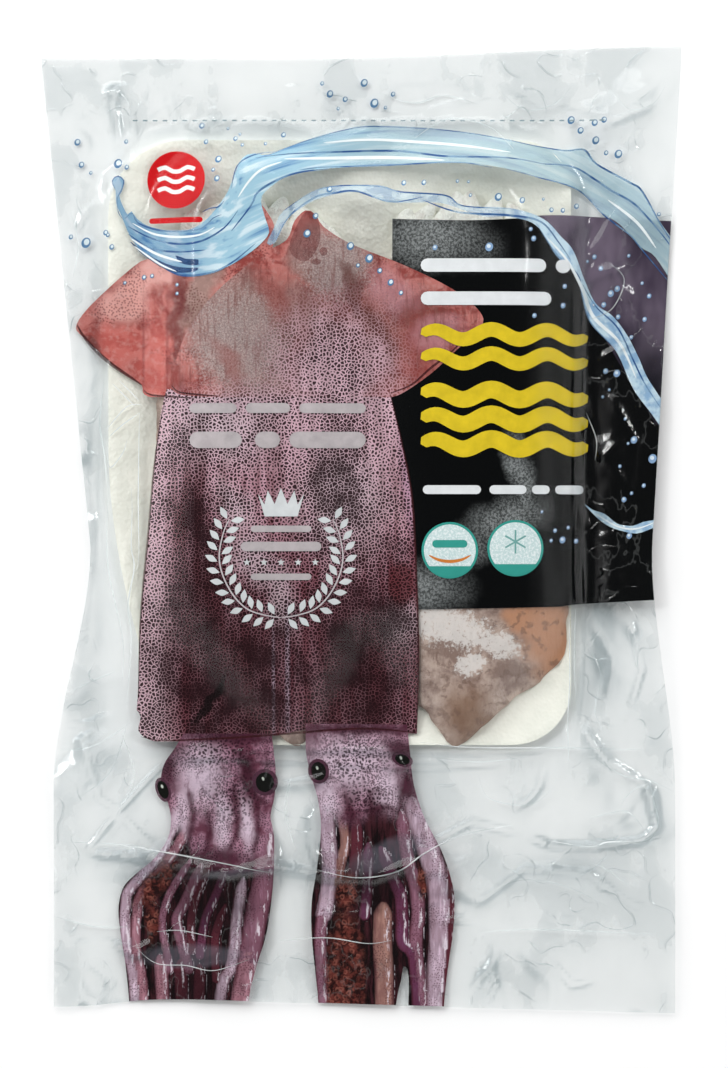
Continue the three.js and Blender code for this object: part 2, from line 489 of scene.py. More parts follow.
# ---- The foam tray ----
# A shallow tray pressed from ivory foam sheet, with a low rim round it. The squid lie in it, and it rests
# loose on the back film.
TRAY_CORNERS = [  # the outline's corners, and how far each one is rounded
    (-86.8, 133.5, 26), (71.8, 133.5, 18), (71.8, -73.6, 20), (-63, -73.6, 16), (-86.6, -14, 40)]
TRAY_FLOOR = 2.2
TRAY_RIM = 2.9
RIM_WIDTH = 2.6
RIM_SLOPE = 1.6
CORNER_STEPS = 10
FOOT = {"scale": (0.975, 0.98, 1), "shift": 1, "height": 0.3}  # the underside is smaller than the rim


def tray_foam():
    """A plate with round corners, thickened, whose middle is pressed down inside the rim."""
    tray = bmesh.new()
    top = tray.faces.new([tray.verts.new((x, y, TRAY_RIM)) for x, y, _ in TRAY_CORNERS])
    for vert, (_, _, rounding) in zip(top.verts[:], TRAY_CORNERS):
        bmesh.ops.bevel(tray, geom=[vert], offset=rounding, segments=CORNER_STEPS, profile=0.5,
                        affect="VERTICES", material=-1)
    tray.faces.ensure_lookup_table()
    top = tray.faces[0]
    under = second_layer(tray, [top])
    bmesh.ops.scale(tray, verts=under, vec=FOOT["scale"])
    bmesh.ops.translate(tray, verts=under, vec=(0, FOOT["shift"], FOOT["height"] - TRAY_RIM))
    for inset, lower in ((RIM_WIDTH, 0), (RIM_SLOPE, TRAY_FLOOR - TRAY_RIM)):
        bmesh.ops.inset_region(tray, faces=[top], thickness=inset)
        bmesh.ops.translate(tray, verts=top.verts, vec=(0, 0, lower))
    bmesh.ops.recalc_face_normals(tray, faces=tray.faces)
    bmesh.ops.triangulate(tray, faces=tray.faces[:])
    return resized(tray, MM)


def mixed(here, factor, first, second):
    return here.node("Mix", {"Factor": factor, 6: first, 7: second}, output=2, data_type="RGBA")


def ivory_foam(here):
    beads = here.node("TexVoronoi", {"Vector": here, "Scale": 0.8})
    normal = here.node("Bump", {"Height": beads * 0.12 + grain(here, 6) * 0.5, "Distance": MM})
    tone = mixed(here, between(grain(here, 14), 0.35, 0.65), rgb(252, 251, 240), rgb(243, 243, 232))
    return here.node("BsdfPrincipled", {"Base Color": tone, "Roughness": 0.55, "Normal": normal})


shown("foam_tray", tray_foam(), finish("ivory_foam", ivory_foam), "tray")

# ---- The two squid ----
# Two whole raw squid side by side, frozen flat, with the tails down and the arms folded under the top seal.
# The film presses on their upper side. The skin is mauve to brown, wet, and frosted in patches.
SQUID_SIDES = [  # y, then how far the body reaches to the tray's middle and to its side
    (-74, 31.6, 33), (-72.5, 29.6, 35.6), (-69, 27, 39.8), (-63, 22.4, 46.4), (-58, 17.6, 52.4),
    (-52, 12.5, 60.6), (-46, 9, 67.4), (-42, 6.5, 70), (-28, 2, 70.4), (0, 1.6, 70.4), (60, 2.2, 70),
    (84, 5, 68), (94, 11, 62), (98, 20, 54)]
SQUID_GAP = 0.85  # between the film and the flesh: the print lies in it
SQUIDS = {"left": {"flip": -1, "tail_shift": 10}, "right": {"flip": 1, "tail_shift": 0}}
BODY_CELLS = (44, 110)
GROUND = TRAY_FLOOR + 0.2  # what the squid lie on
SUNK = 0.15
TAIL_REACH = 70  # the tail bends over this length
UNEVEN = 1.2
SIDE_ROUNDING, END_ROUNDING = (6, 0.55), (30, 0.5)  # the two powers of each
DENTS = (0.15, 0.5)  # the least and the deepest
ON_RIM = {"from_x": 21, "below_y": -64, "past_x": 66}  # where the flesh hangs over the tray's rim
ARMS = 8
ARM = {"root_y": 91, "tip_y": 117, "middle": 36.5, "spread": 24, "width": 12.5, "shorter": 7, "sway": 2.5,
       "thinnest": 1.5, "under": 0.3}


def table_at(rows, place, column):
    """A column of a table of rows at a place between them."""
    for low, high in zip(rows, rows[1:]):
        if place <= high[0]:
            share = (place - low[0]) / (high[0] - low[0])
            share = smooth(share) * 0.4 + 0.6 * share
            return low[column] + (high[column] - low[column]) * share
    return rows[-1][column]


def rounded(share, fullness, softness):
    """How full a round side is at a share of the way out to its edge."""
    return max(0, 1 - share ** fullness) ** softness


def squid_body(flip, tail_shift):
    """A flattened body: it fills the room below the film, with round sides, and lies on the tray."""
    body = bmesh.new()
    bmesh.ops.create_grid(body, x_segments=BODY_CELLS[0], y_segments=BODY_CELLS[1], size=0.5)
    first, last = SQUID_SIDES[0][0], SQUID_SIDES[-1][0]
    for vert in body.verts:
        share, v = vert.co.x * 2, vert.co.y + 0.5
        y = first + (last - first) * v
        near, far = table_at(SQUID_SIDES, y, 1), table_at(SQUID_SIDES, y, 2)
        shift = tail_shift * smooth(-y / TAIL_REACH)
        uneven = noise.noise(Vector((y / 5, share * 2, 1))) * UNEVEN * abs(share)
        x = flip * ((near + far) / 2 + (far - near) / 2 * share - shift + uneven)
        roof = (plumb(film_tree, x, y) or GROUND) - SQUID_GAP
        side = rounded(abs(share), *SIDE_ROUNDING)
        ends = rounded(abs(2 * v - 1), *END_ROUNDING)
        dent = DENTS[1] * max(0, noise.noise(Vector((x / 7, y / 10, 3)))) + DENTS[0]
        height = GROUND + max(0, roof - dent - GROUND) * side * ends
        if x > ON_RIM["from_x"] and (y < ON_RIM["below_y"] or x > ON_RIM["past_x"]):
            height = max(height, min(roof + SQUID_GAP - 0.25, TRAY_RIM + 0.4))
        vert.co = (x, y, height)
    for vert in second_layer(body, body.faces[:]):
        vert.co.z = GROUND - SUNK
    bmesh.ops.remove_doubles(body, verts=body.verts, dist=0.001)
    bmesh.ops.recalc_face_normals(body, faces=body.faces)
    return resized(body, MM)


def squid_arms(flip):
    """The head and the folded arms: a bundle of tapered limbs that fans out from the collar."""
    bundle = bmesh.new()
    under = TRAY_FLOOR + ARM["under"]
    for i in range(ARMS):
        fan = (i / (ARMS - 1) - 0.5) * 2
        limb = bmesh.ops.create_uvsphere(bundle, u_segments=14, v_segments=22, radius=1)["verts"]
        for vert in limb:
            t = (vert.co.z + 1) / 2
            y = ARM["root_y"] + (ARM["tip_y"] - ARM["root_y"]) * t - ARM["shorter"] * abs(fan) * t
            sway = ARM["sway"] * math.sin(t * 5 + i * 1.7)
            middle = flip * ARM["middle"] + fan * ARM["spread"] * (1 - 0.25 * t) + sway
            x = middle + vert.co.x * (ARM["width"] / 2 * (1.25 - 0.6 * t))
            roof = (plumb(film_tree, x, y) or TRAY_FLOOR + 3) - SQUID_GAP - 0.2
            thick = max(ARM["thinnest"], (roof - TRAY_FLOOR - ARM["under"]) * (1 - 0.6 * t))
            vert.co = (x, y, under + thick * (0.5 + vert.co.y / 2))
    bmesh.ops.recalc_face_normals(bundle, faces=bundle.faces)
    return resized(bundle, MM)


def patch(here, x, y, across, along, turn=0, soft=0.4):
    """1 inside an oval round a place and 0 outside it, with a soft edge."""
    local = here.node("Mapping", {"Vector": here, "Location": (x, y, 0), "Scale": (across, along, 1e6),
                                  "Rotation": (0, 0, math.radians(turn))}, vector_type="TEXTURE")
    off = here.node("VectorMath", {0: local}, output="Value", operation="LENGTH")
    return between(off, 1 + soft, 1 - soft)


def largest(values):
    values = list(values)
    result = values[0]
    for value in values[1:]:
        result = result.math("MAXIMUM", result, value)
    return result


def patches(here, places):
    """1 inside any of some ovals and 0 outside them all."""
    return largest(patch(here, *place) for place in places)


def shifted(here, size, amount):
    """The place moved about by noise, so that what is drawn from it has an uneven edge."""
    noisy = here.node("TexNoise", {"Vector": here, "Scale": 1 / size, "Detail": 2}, output="Color")
    centred = here.node("VectorMath", {0: noisy, 1: (0.5, 0.5, 0.5)}, operation="SUBTRACT")
    moved = here.node("VectorMath", {0: centred, "Scale": amount}, operation="SCALE")
    return here.node("VectorMath", {0: here, 1: moved})


def painted(here, tone, layers):
    """The tone with soft-edged patches of other colours laid over it, each at its strength."""
    for strength, colour, places in layers:
        tone = mixed(here, patches(here, places) * strength, tone, rgb(*colour))
    return tone


def raw_squid(here):
    uneven = shifted(here, 7, 7)
    soft = between(grain(here, 9, 4, 0.65), 0.35, 0.65)
    tone = mixed(here, soft, rgb(134, 110, 100), rgb(186, 164, 152))
    tone = painted(uneven, tone, [
        (1, (186, 134, 102), [(63, -34, 9, 17, 12), (55, -30, 7, 6)]),
        (0.8, (122, 88, 64), [(36, -64, 8, 10, 0, 0.6)])])
    blots = between(grain(shifted(here, 3, 3), 3.4, 3, 0.6), 0.56, 0.64)
    tone = mixed(here, blots * 0.5, tone, rgb(104, 76, 64))
    cover = patches(uneven, [
        (31, -33, 14, 7, -12, 0.6), (46, -39, 9, 4, -16, 0.6), (24, -31, 8, 7, 0, 0.6),
        (37, -46, 6, 4, 0, 0.6), (-36, 100, 30, 16), (36, 100, 30, 16)])
    ice = between(grain(here, 1.7, 5, 0.8) + cover * 0.4, 0.68, 0.84)
    tone = mixed(here, ice * 0.8, tone, rgb(226, 220, 216))
    folds = grain(here, 3.2, 3, 0.6, (0.5, 1.6), -18) * 0.5
    normal = here.node("Bump", {"Height": folds, "Distance": MM})
    return here.node("BsdfPrincipled", {"Base Color": tone, "Roughness": 0.5 + 0.3 * ice, "Normal": normal})


def frosted_arms(here):
    tone = mixed(here, between(grain(here, 8, 3, 0.6), 0.4, 0.6), rgb(222, 215, 206), rgb(238, 235, 226))
    ice = between(grain(here, 5, 4, 0.6), 0.3, 0.55)
    normal = here.node("Bump", {"Height": grain(here, 1.2, 3, 0.7), "Distance": MM})
    return here.node("BsdfPrincipled", {"Base Color": mixed(here, ice, tone, rgb(246, 245, 236)),
                                        "Roughness": 0.6, "Normal": normal})


squid_skin = finish("raw_squid", raw_squid)
arm_skin = finish("frosted_arms", frosted_arms)
for side, pose in SQUIDS.items():
    shown("squid_body_" + side, squid_body(pose["flip"], pose["tail_shift"]), squid_skin, "squid_flesh")
    shown("squid_arms_" + side, squid_arms(pose["flip"]), arm_skin, "squid_flesh")

# ---- The print ----
# Inks between the layers of the front film: a dark panel, a splash of water, two large squid and a few
# marks. Each field is a thin sheet a little below the film's surface, so that it follows every fold.
LAYERS = [  # from the top down
    "folds", "marks", "mark_fields", "glints", "water_lines", "water", "details", "limbs", "head", "fin",
    "mantle", "far_fin", "dusk", "panel"]
LAYER_STEP = 0.032
INK_THICKNESS = 0.022
INK_SHARE = 0.999  # of the film's length and width
THICK_INK = 0.72  # how light a colour stays where it lies thickest
COLUMN_FOOT, COLUMN_HEIGHT = -5, 40
STROKE_STEP = 1.2
THINNEST = 0.1
PANEL = [
    (10.5, 105.9, 0), (37.2, 105.3), (61.2, 106.4), (81.8, 106.7), (120, 105.3, 0), (120, -23.7, 0),
    (99.6, -24), (72, -25.6, 0), (68.1, -26.2, 0), (10, -27.2, 0)]
DUSK = [
    (57.1, 106.8, 0), (72, 107.6), (95, 106.4), (120, 105.3, 0), (120, 36, 0), (100.7, 36, 0), (90.4, 53.2),
    (81.8, 68.6), (74.9, 82.3), (68.1, 96)]
FAR_FIN = [
    (-97.9, 69.6), (-94.2, 75.5), (-85.6, 83.7), (-80.4, 88.2), (-77, 90.9), (-73.6, 92.6), (-65.7, 92.4),
    (-57.1, 90.5), (-44, 104), (-38, 112), (-32, 108), (-30, 97), (-40, 60, 0), (-56.8, 43.9, 0),
    (-67.4, 45.3), (-72.9, 45.6), (-74.9, 47.3), (-75.3, 49.7), (-81.5, 53.5), (-88, 59), (-95.5, 66.2)]
NEAR_FIN = [
    (-19, 108.7), (-22.8, 105), (-25.5, 98.6), (-33.4, 94.2), (-40.3, 88.8), (-48.9, 81.3), (-57.5, 71),
    (-62.6, 59.7), (-65, 50), (-62.6, 46.4), (-55.4, 45.4), (-47, 45, 0), (5, 45.4, 0), (12.2, 45.7),
    (23.2, 52.8), (33.4, 62.1), (38.6, 66.6), (41.4, 71.6), (36.9, 77.5), (28.3, 83.3), (13.2, 90.6),
    (-3.6, 97.4), (-12.9, 103.2), (-15.6, 107.3)]
MANTLE = [
    (-66.4, 48, 0), (-68.4, 40), (-70.6, 24), (-72.9, -2), (-75.6, -30), (-76.3, -51.5), (-77, -61.7, 0),
    (-75.6, -64), (-76.4, -68.7), (-73, -71.6), (-67.4, -72.4), (-45.1, -71.6), (-29, -70.3, 0),
    (-20, -68.4), (-9.8, -68, 0), (0, -68.3), (19, -69.8, 0), (19.7, -44.6), (19.2, -27.4), (18.4, -10.3),
    (16.9, 12), (13.4, 31), (9.4, 47.3, 0)]
SQUID_TIP = [(-24.5, 95.4), (-21.2, 105.2), (-17.8, 108.4), (-14.2, 103.6), (-14.9, 96), (-19.4, 91.2)]
TIP_SPOTS = [(-12.9, 94.7, 1.4, 1.5), (-15.3, 91.2, 1.5, 1.1)]
SKIN_EDGES = [  # width, then the line
    (1.8, [(-97.6, 70.6), (-95.4, 66.6), (-91, 61.4), (-85.4, 56.6), (-79.4, 52.5), (-74.9, 49.4)]),
    (1, [(-74.6, 48), (-72, 46.2), (-62, 45.2), (-56.8, 44.8)]),
    (1.1, [(36.9, 67), (30, 60), (23.5, 55), (17, 49.4), (9.4, 46.4)]),
    (0.9, [(-64.8, 49.4), (-62.2, 47), (-55.4, 46), (-48, 45.4)]),
    (1, [(-66.2, 46), (-68.4, 38), (-70.8, 22), (-73, -2), (-75.6, -30), (-76.4, -58)]),
    (1, [(9.8, 46), (13.6, 30), (17, 12), (18.4, -10.3), (19.4, -40), (18.9, -69)]),
    (1.1, [(-75.6, -70.8), (-67.4, -72), (-45.1, -71.2), (-29, -69.9), (0, -68), (18.6, -69.4)]),
]


def curve(points, closed=True, step=1.6):
    """A smooth line through points, closed or open. A third value of 0 makes a point a corner."""
    spots = [Vector(point[:2]) for point in points]
    bends = [point[2] if len(point) > 2 else 1 for point in points]
    count = len(spots)
    line = []
    for i in range(count if closed else count - 1):
        a, b = spots[i], spots[(i + 1) % count]
        before = spots[i - 1] if closed or i else a
        after = spots[(i + 2) % count] if closed or i + 2 < count else b
        leave, arrive = (b - before) / 2 * bends[i], (after - a) / 2 * bends[(i + 1) % count]
        steps = max(1, round((b - a).length / step))
        for k in range(steps):
            t = k / steps
            line.append(a * (2 * t**3 - 3 * t**2 + 1) + leave * (t**3 - 2 * t**2 + t)
                        + b * (3 * t**2 - 2 * t**3) + arrive * (t**3 - t**2))
    return line if closed else line + [spots[-1]]


def ink_sheet(layer):
    """All the ink of one layer before it is cut: the film, lowered to the layer, and its underside."""
    sheet = film_grid.copy()
    bmesh.ops.translate(sheet, verts=sheet.verts, vec=(0, 0, -LAYER_STEP * (LAYERS.index(layer) + 1)))
    bmesh.ops.scale(sheet, verts=sheet.verts, vec=(INK_SHARE, INK_SHARE, 1))
    under = second_layer(sheet, sheet.faces[:])
    bmesh.ops.translate(sheet, verts=under, vec=(0, 0, -INK_THICKNESS))
    bmesh.ops.recalc_face_normals(sheet, faces=sheet.faces)
    return mesh_of("ink_" + layer, sheet)


def column(outlines):
    """Upright columns with these outlines, tall enough to pass through the film."""
    solid = bmesh.new()
    for outline in outlines:
        face = solid.faces.new([solid.verts.new((x, y, COLUMN_FOOT)) for x, y in outline])
        raised = second_layer(solid, [face], keep=False)
        bmesh.ops.translate(solid, verts=raised, vec=(0, 0, COLUMN_HEIGHT))
    bmesh.ops.recalc_face_normals(solid, faces=solid.faces)
    return linked("column", mesh_of("column", solid))


def boolean(part, operation, other):
    step = part.modifiers.new(operation.lower(), "BOOLEAN")
    step.operation = operation
    step.solver = "MANIFOLD"
    step.object = other


ink_sheets = {}


def printed(name, layer, outlines, material, crossing=False):
    """A field of ink on a layer, cut to its outlines, which are joined first where they cross."""
    if layer not in ink_sheets:
        ink_sheets[layer] = ink_sheet(layer)
    sheet = linked("sheet", ink_sheets[layer])
    cutters = [column([line]) for line in outlines] if crossing else [column(outlines)]
    for other in cutters[1:]:
        boolean(cutters[0], "UNION", other)
    boolean(sheet, "INTERSECT", cutters[0])
    graph = bpy.context.evaluated_depsgraph_get()
    mesh = bpy.data.meshes.new_from_object(sheet.evaluated_get(graph))
    mesh.transform(Matrix.Scale(MM, 4))
    for part in [sheet, *cutters]:
        bpy.data.objects.remove(part)
    mesh.name = name
    return shown(name, mesh, material, "print_ink")


def ahead_at(line, i):
    """The way a line runs at one of its points."""
    return line[min(i + 1, len(line) - 1)] - line[max(i - 1, 0)]


def stroke(points, width, taper=0.5):
    """The outline of a drawn line, full in its middle and thinner towards its ends."""
    line = curve(points, closed=False, step=STROKE_STEP)
    sides = [[], []]
    for i, spot in enumerate(line):
        ahead = ahead_at(line, i)
        across = Vector((-ahead.y, ahead.x)).normalized()
        fullness = max(math.sin(math.pi * i / (len(line) - 1)), 0) ** taper if taper else 1
        half = max(width / 2 * fullness, THINNEST / 2)
        sides[0].append(spot + across * half)
        sides[1].append(spot - across * half)
    return sides[0] + sides[1][::-1]


def oval(x, y, across, along=None, turn=0, sides=20):
    along = along or across
    turn = Matrix.Rotation(math.radians(turn), 2)
    steps = [2 * math.pi * i / sides for i in range(sides)]
    return [Vector((x, y)) + turn @ Vector((across * math.cos(t), along * math.sin(t))) for t in steps]


def polar(x, y, radius, turn):
    """The point at a distance from another, at an angle in radians."""
    return Vector((x + radius * math.cos(turn), y + radius * math.sin(turn)))


def bar(x_from, x_to, y, height):
    """A bar with round ends."""
    r = height / 2
    ends = [(x_from + r, 90), (x_to - r, -90)]
    return [polar(x, y, r, math.radians(turn + i * 30)) for x, turn in ends for i in range(7)]


def ink(here, colour, roughness=0.5, alpha=1):
    return here.node("BsdfPrincipled", {"Base Color": colour, "Roughness": roughness, "Alpha": alpha,
                                        "Specular IOR Level": 0})


def plain_ink(red, green, blue, alpha=1, roughness=0.45, unevenness=0.14):
    """A recipe for one flat ink that is laid on a little unevenly."""
    thick = rgb(*[channel * THICK_INK for channel in (red, green, blue)])

    def recipe(here):
        laid = grain(here, 5, 3, 0.6) * unevenness * 2
        return ink(here, mixed(here, laid, rgb(red, green, blue), thick), roughness, alpha)
    return recipe


def panel_ink(here):
    uneven = shifted(here, 9, 8)
    haze = patches(uneven, [
        (24, 99, 16, 8, -6, 0.8), (55, 18, 3.4, 13, 16, 0.7), (50, 3, 12, 6, 24, 0.8), (36, -6, 6, 6, 0, 0.8),
        (19, -20, 13, 7, 0, 0.8)])
    speckle = between(grain(here, 0.9, 3, 0.7), 0.42, 0.6) * 0.6 + grain(here, 5, 3, 0.6) * 0.6
    return ink(here, mixed(here, haze * speckle * 0.6, rgb(2, 3, 4), rgb(176, 180, 180)), 0.45)


def dusk_ink(here):
    soft = grain(here, 24, 3, 0.5, (0.7, 1.6))
    tone = mixed(here, between(soft, 0.35, 0.65), rgb(62, 52, 68), rgb(108, 96, 112))
    tone = mixed(here, patch(shifted(here, 10, 10), 96, 46, 14, 18, 0, 0.8), tone, rgb(24, 22, 30))
    return ink(here, tone)


def spots(here, size, fill, share=1):
    """Small round pigment cells about size apart, 1 in a cell."""
    cells = here.node("TexVoronoi", {"Vector": here, "Scale": 1 / size, "Randomness": 0.85},
                      voronoi_dimensions="2D")
    return between(cells, fill + 0.12, fill - 0.08) * share


def mantle_skin(here):
    """Pink skin under pigment cells, which are small where it is pale and crowd together where it is dark."""
    x = here.part("X")
    y = here.part("Y")
    uneven = shifted(here, 14, 12)
    streaks = grain(here, 9, 3, 0.6, (0.45, 4), 3)
    tone = mixed(here, between(streaks, 0.32, 0.68), rgb(122, 72, 82), rgb(196, 150, 164))
    tone = mixed(here, between(y, 0, 50) * 0.5, tone, rgb(222, 194, 204))
    tone = mixed(here, between(y, 20, -30) * 0.45, tone, rgb(112, 60, 68))
    tone = mixed(here, between(x, -60, -72) * (0.6 + 0.4 * streaks), tone, rgb(218, 186, 196))
    tone = painted(uneven, tone, [
        (0.6, (206, 186, 194), [
            (-50, 34, 14, 10, 0, 0.9), (-6, 10, 15, 17, 0, 0.8), (-44, 8, 5, 10, 28, 0.8),
            (-36, -10, 6, 12, 28, 0.7), (-27, -22, 5, 12, 12, 0.8), (15, -32, 6, 7, 0, 0.8)]),
        (0.68, (78, 44, 48), [
            (-56, -22, 7, 44, 3, 0.8), (-46, -50, 20, 24, 0, 0.9), (-2, -48, 16, 22, 0, 0.9)])])
    tone = painted(here, tone, [
        (0.75, (196, 156, 178), [(16.5, 18, 2.6, 22, 6, 0.6)]),
        (0.85, (98, 44, 48), [(13.5, -18.4, 4.6, 7.6, 0, 0.25)]),
        (0.6, (204, 182, 200), [(-25.2, -50, 0.7, 22, 0, 0.9), (-30, -52, 0.5, 18, 0, 0.9)])])
    dark = patches(uneven, [(-55, -26, 9, 46, 3, 0.8), (-44, -50, 26, 26, 0, 0.9), (0, -40, 20, 34, 0, 0.9),
                            (-8, 18, 8, 16, 0, 0.9)])
    crowd = 0.2 - 0.15 * dark - 0.1 * between(grain(here, 12, 3, 0.6), 0.35, 0.7)
    cells = here.node("TexVoronoi", {"Vector": shifted(here, 2, 0.9), "Scale": 1 / 1.18, "Randomness": 1},
                      voronoi_dimensions="2D", feature="DISTANCE_TO_EDGE")
    tone = mixed(here, between(cells, crowd - 0.02, crowd + 0.07) * 0.95, tone, rgb(30, 10, 14))
    slit = patch(uneven, -51.5, -57, 1.8, 10, -38, 0.4)
    return mixed(here, slit * 0.9, tone, rgb(14, 8, 9))


def mantle_ink(here):
    return ink(here, mantle_skin(here))


def fin_skin(here, layers):
    """Coral skin in soft cloudy tones, painted over, with pigment cells here and there."""
    uneven = shifted(shifted(here, 12, 12), 3, 2.6)
    soft = between(grain(uneven, 11, 4, 0.65), 0.4, 0.58)
    tone = mixed(here, soft, rgb(140, 64, 60), rgb(186, 114, 108))
    tone = painted(uneven, tone, layers)
    cloudy = between(grain(here, 2.4, 3, 0.65), 0.45, 0.75)
    tone = mixed(here, cloudy * 0.25, tone, rgb(214, 176, 170))
    dots = spots(here, 1, 0.26) * between(grain(here, 14, 2), 0.5, 0.64)
    return mixed(here, dots * 0.6, tone, rgb(92, 34, 38))


def frost(here, places, coverage=0.5, size=0.9):
    """Grains of ice: dense in the middle of each oval place and thinning out round it."""
    uneven = shifted(here, 10, 9)
    cover = patches(uneven, places)
    grains = grain(here, size, 2, 0.7)
    return between(grains + cover * coverage, 0.56, 0.98) * between(cover, 0, 0.5)


def near_fin_ink(here):
    skin = fin_skin(here, [(0.8, (152, 130, 125), [
        (-40, 66, 17, 25, 28, 0.3), (-12, 92, 13, 10, 0, 0.3), (-24, 64, 12, 18, 0, 0.4)])])
    ragged = shifted(shifted(here, 16, 14), 3.2, 3.6)
    skin = painted(ragged, skin, [(0.55, (108, 62, 56), [(-4, 66, 30, 24, 0, 0.5)])])
    ice = frost(here, [(-42, 64, 16, 18, 25, 0.8), (-8, 90, 12, 11, 0, 0.8)], 0.42, 0.8)
    grit = frost(here, [(-38, 66, 18, 22, 25, 0.8), (-8, 88, 14, 13, 0, 0.8), (20, 74, 16, 9, -30, 0.8)],
                 0.34, 0.6)
    skin = mixed(here, ice * 0.45, skin, rgb(206, 198, 196))
    skin = painted(ragged, mixed(here, grit * 0.45, skin, rgb(86, 58, 56)), [
        (0.5, (140, 66, 62), [(-30, 80, 5, 11, 24, 0.5), (-60, 50, 5, 5, 0, 0.6), (-22, 62, 3, 11, -14, 0.5),
                               (20, 60, 8, 14, 0, 0.6), (-44, 56, 3, 10, 34, 0.6)]),
        (0.75, (88, 46, 40), [(-3, 80, 3, 13, 22, 0.4), (6, 64, 4, 13, 14, 0.5)]),
        (0.35, (212, 160, 170), [
            (10, 82, 9, 6, -30, 0.6), (-12, 50, 16, 9, 0, 0.6), (26, 68, 7, 5, 0, 0.6)])])
    veins = grain(here, 5, 4, 0.7, (0.35, 2.6), -8)
    skin = mixed(here, between(veins, 0.52, 0.66) * 0.45, skin, rgb(112, 62, 58))
    body = largest([patch(shifted(here, 8, 8), -9, 54, 19, 21, 0, 0.7),
                    patch(here, -24, 36, 42, 13, 0, 0.5)])
    return ink(here, mixed(here, body, skin, mantle_skin(here)))


def far_fin_ink(here):
    skin = fin_skin(here, [
        (0.8, (224, 168, 160), [(-80, 80, 11, 7, 35, 0.4), (-70, 87, 7, 6, 0, 0.4)]),
        (0.55, (204, 104, 96), [(-84, 62, 9, 8, 30, 0.5), (-70, 58, 6, 16, 0, 0.5)]),
        (0.85, (108, 50, 48), [(-62, 72, 3.2, 19, -6, 0.4), (-92, 62, 11, 1.6, -40, 0.6)]),
        (0.8, (150, 128, 120), [(-54, 82, 4, 14, -20, 0.4)])])
    # Two thin dark lines along the creases that the tray's rim makes in the film: painted shade.
    ridge = patches(here, [(-74.6, 60, 0.45, 16, 0, 0.9), (-66.2, 60, 0.45, 16, 0, 0.9)])
    return ink(here, mixed(here, ridge * 0.5, skin, rgb(122, 48, 48)))


printed("dark_panel", "panel", [curve(PANEL)], finish("panel_ink", panel_ink))
printed("dusk_field", "dusk", [curve(DUSK)], finish("dusk_ink", dusk_ink))
printed("far_squid_fin", "far_fin", [curve(FAR_FIN)], finish("far_fin_ink", far_fin_ink))
printed("near_squid_fins", "fin", [curve(NEAR_FIN)], finish("near_fin_ink", near_fin_ink))
printed("squid_mantles", "mantle", [curve(MANTLE)], finish("mantle_ink", mantle_ink))
printed("squid_tip", "details", [curve(SQUID_TIP), *[oval(*spot) for spot in TIP_SPOTS]],
        finish("tip_ink", plain_ink(186, 104, 104, 0.22, unevenness=0.9)))
printed("skin_edges", "limbs", [stroke(line, width * 0.7) for width, line in SKIN_EDGES],
        finish("edge_ink", plain_ink(96, 40, 46, 0.4, unevenness=0.8)), crossing=True)

# ---- The printed heads and arms ----
# The two heads with their folded arms, in one ink that is shaded along every arm: dark between the arms,
# mauve on their sides and pale along their backs. The suckers lie in rows, and the eyes are inks above.
HEADS = {
    "left": [(-60.9, -69.7, 0), (-64, -74.8), (-67.8, -80.6), (-68.8, -87.8), (-66.4, -93.3),
        (-65.3, -99.4), (-66.4, -105.6), (-70.8, -112.2), (-76.7, -117.3), (-81.4, -122.1), (-83.2, -128.6),
        (-82.9, -135.8), (-81.1, -147.5), (-79.7, -161.2), (-79.4, -175, 0), (-38.2, -175, 0),
        (-38.6, -161.2), (-35.9, -149.2), (-32.4, -137.5), (-30.2, -120.1), (-30, -104.9), (-31.2, -98.1),
        (-29.8, -91.2), (-29.4, -82.3), (-30, -76.1), (-30.7, -69.7, 0)],
    "right": [(-19, -66.3, 0), (-19, -76.1), (-17.3, -84), (-14.9, -92.6), (-13.9, -102.9), (-15.4, -116.6),
        (-17, -126.9), (-17.1, -137.5), (-15.9, -150.9), (-14.9, -161.2), (-14.9, -175, 0), (11.5, -175, 0),
        (11.8, -163), (13.6, -154), (14.6, -149.6), (16.2, -153.7), (15.6, -175, 0), (28, -175, 0),
        (28.4, -161.2), (30, -147.5), (31.4, -137.5), (31.9, -126.9), (30.6, -119.1), (27.2, -109.4),
        (21.8, -99.1), (18, -87.5), (16.6, -76.1), (15.6, -66.6, 0)],
}
TONES = {"mauve": (158, 112, 132), "pale": (224, 198, 216), "purple": (112, 62, 94),
         "salmon": (182, 138, 126), "maroon": (92, 42, 52), "pink": (186, 134, 148)}
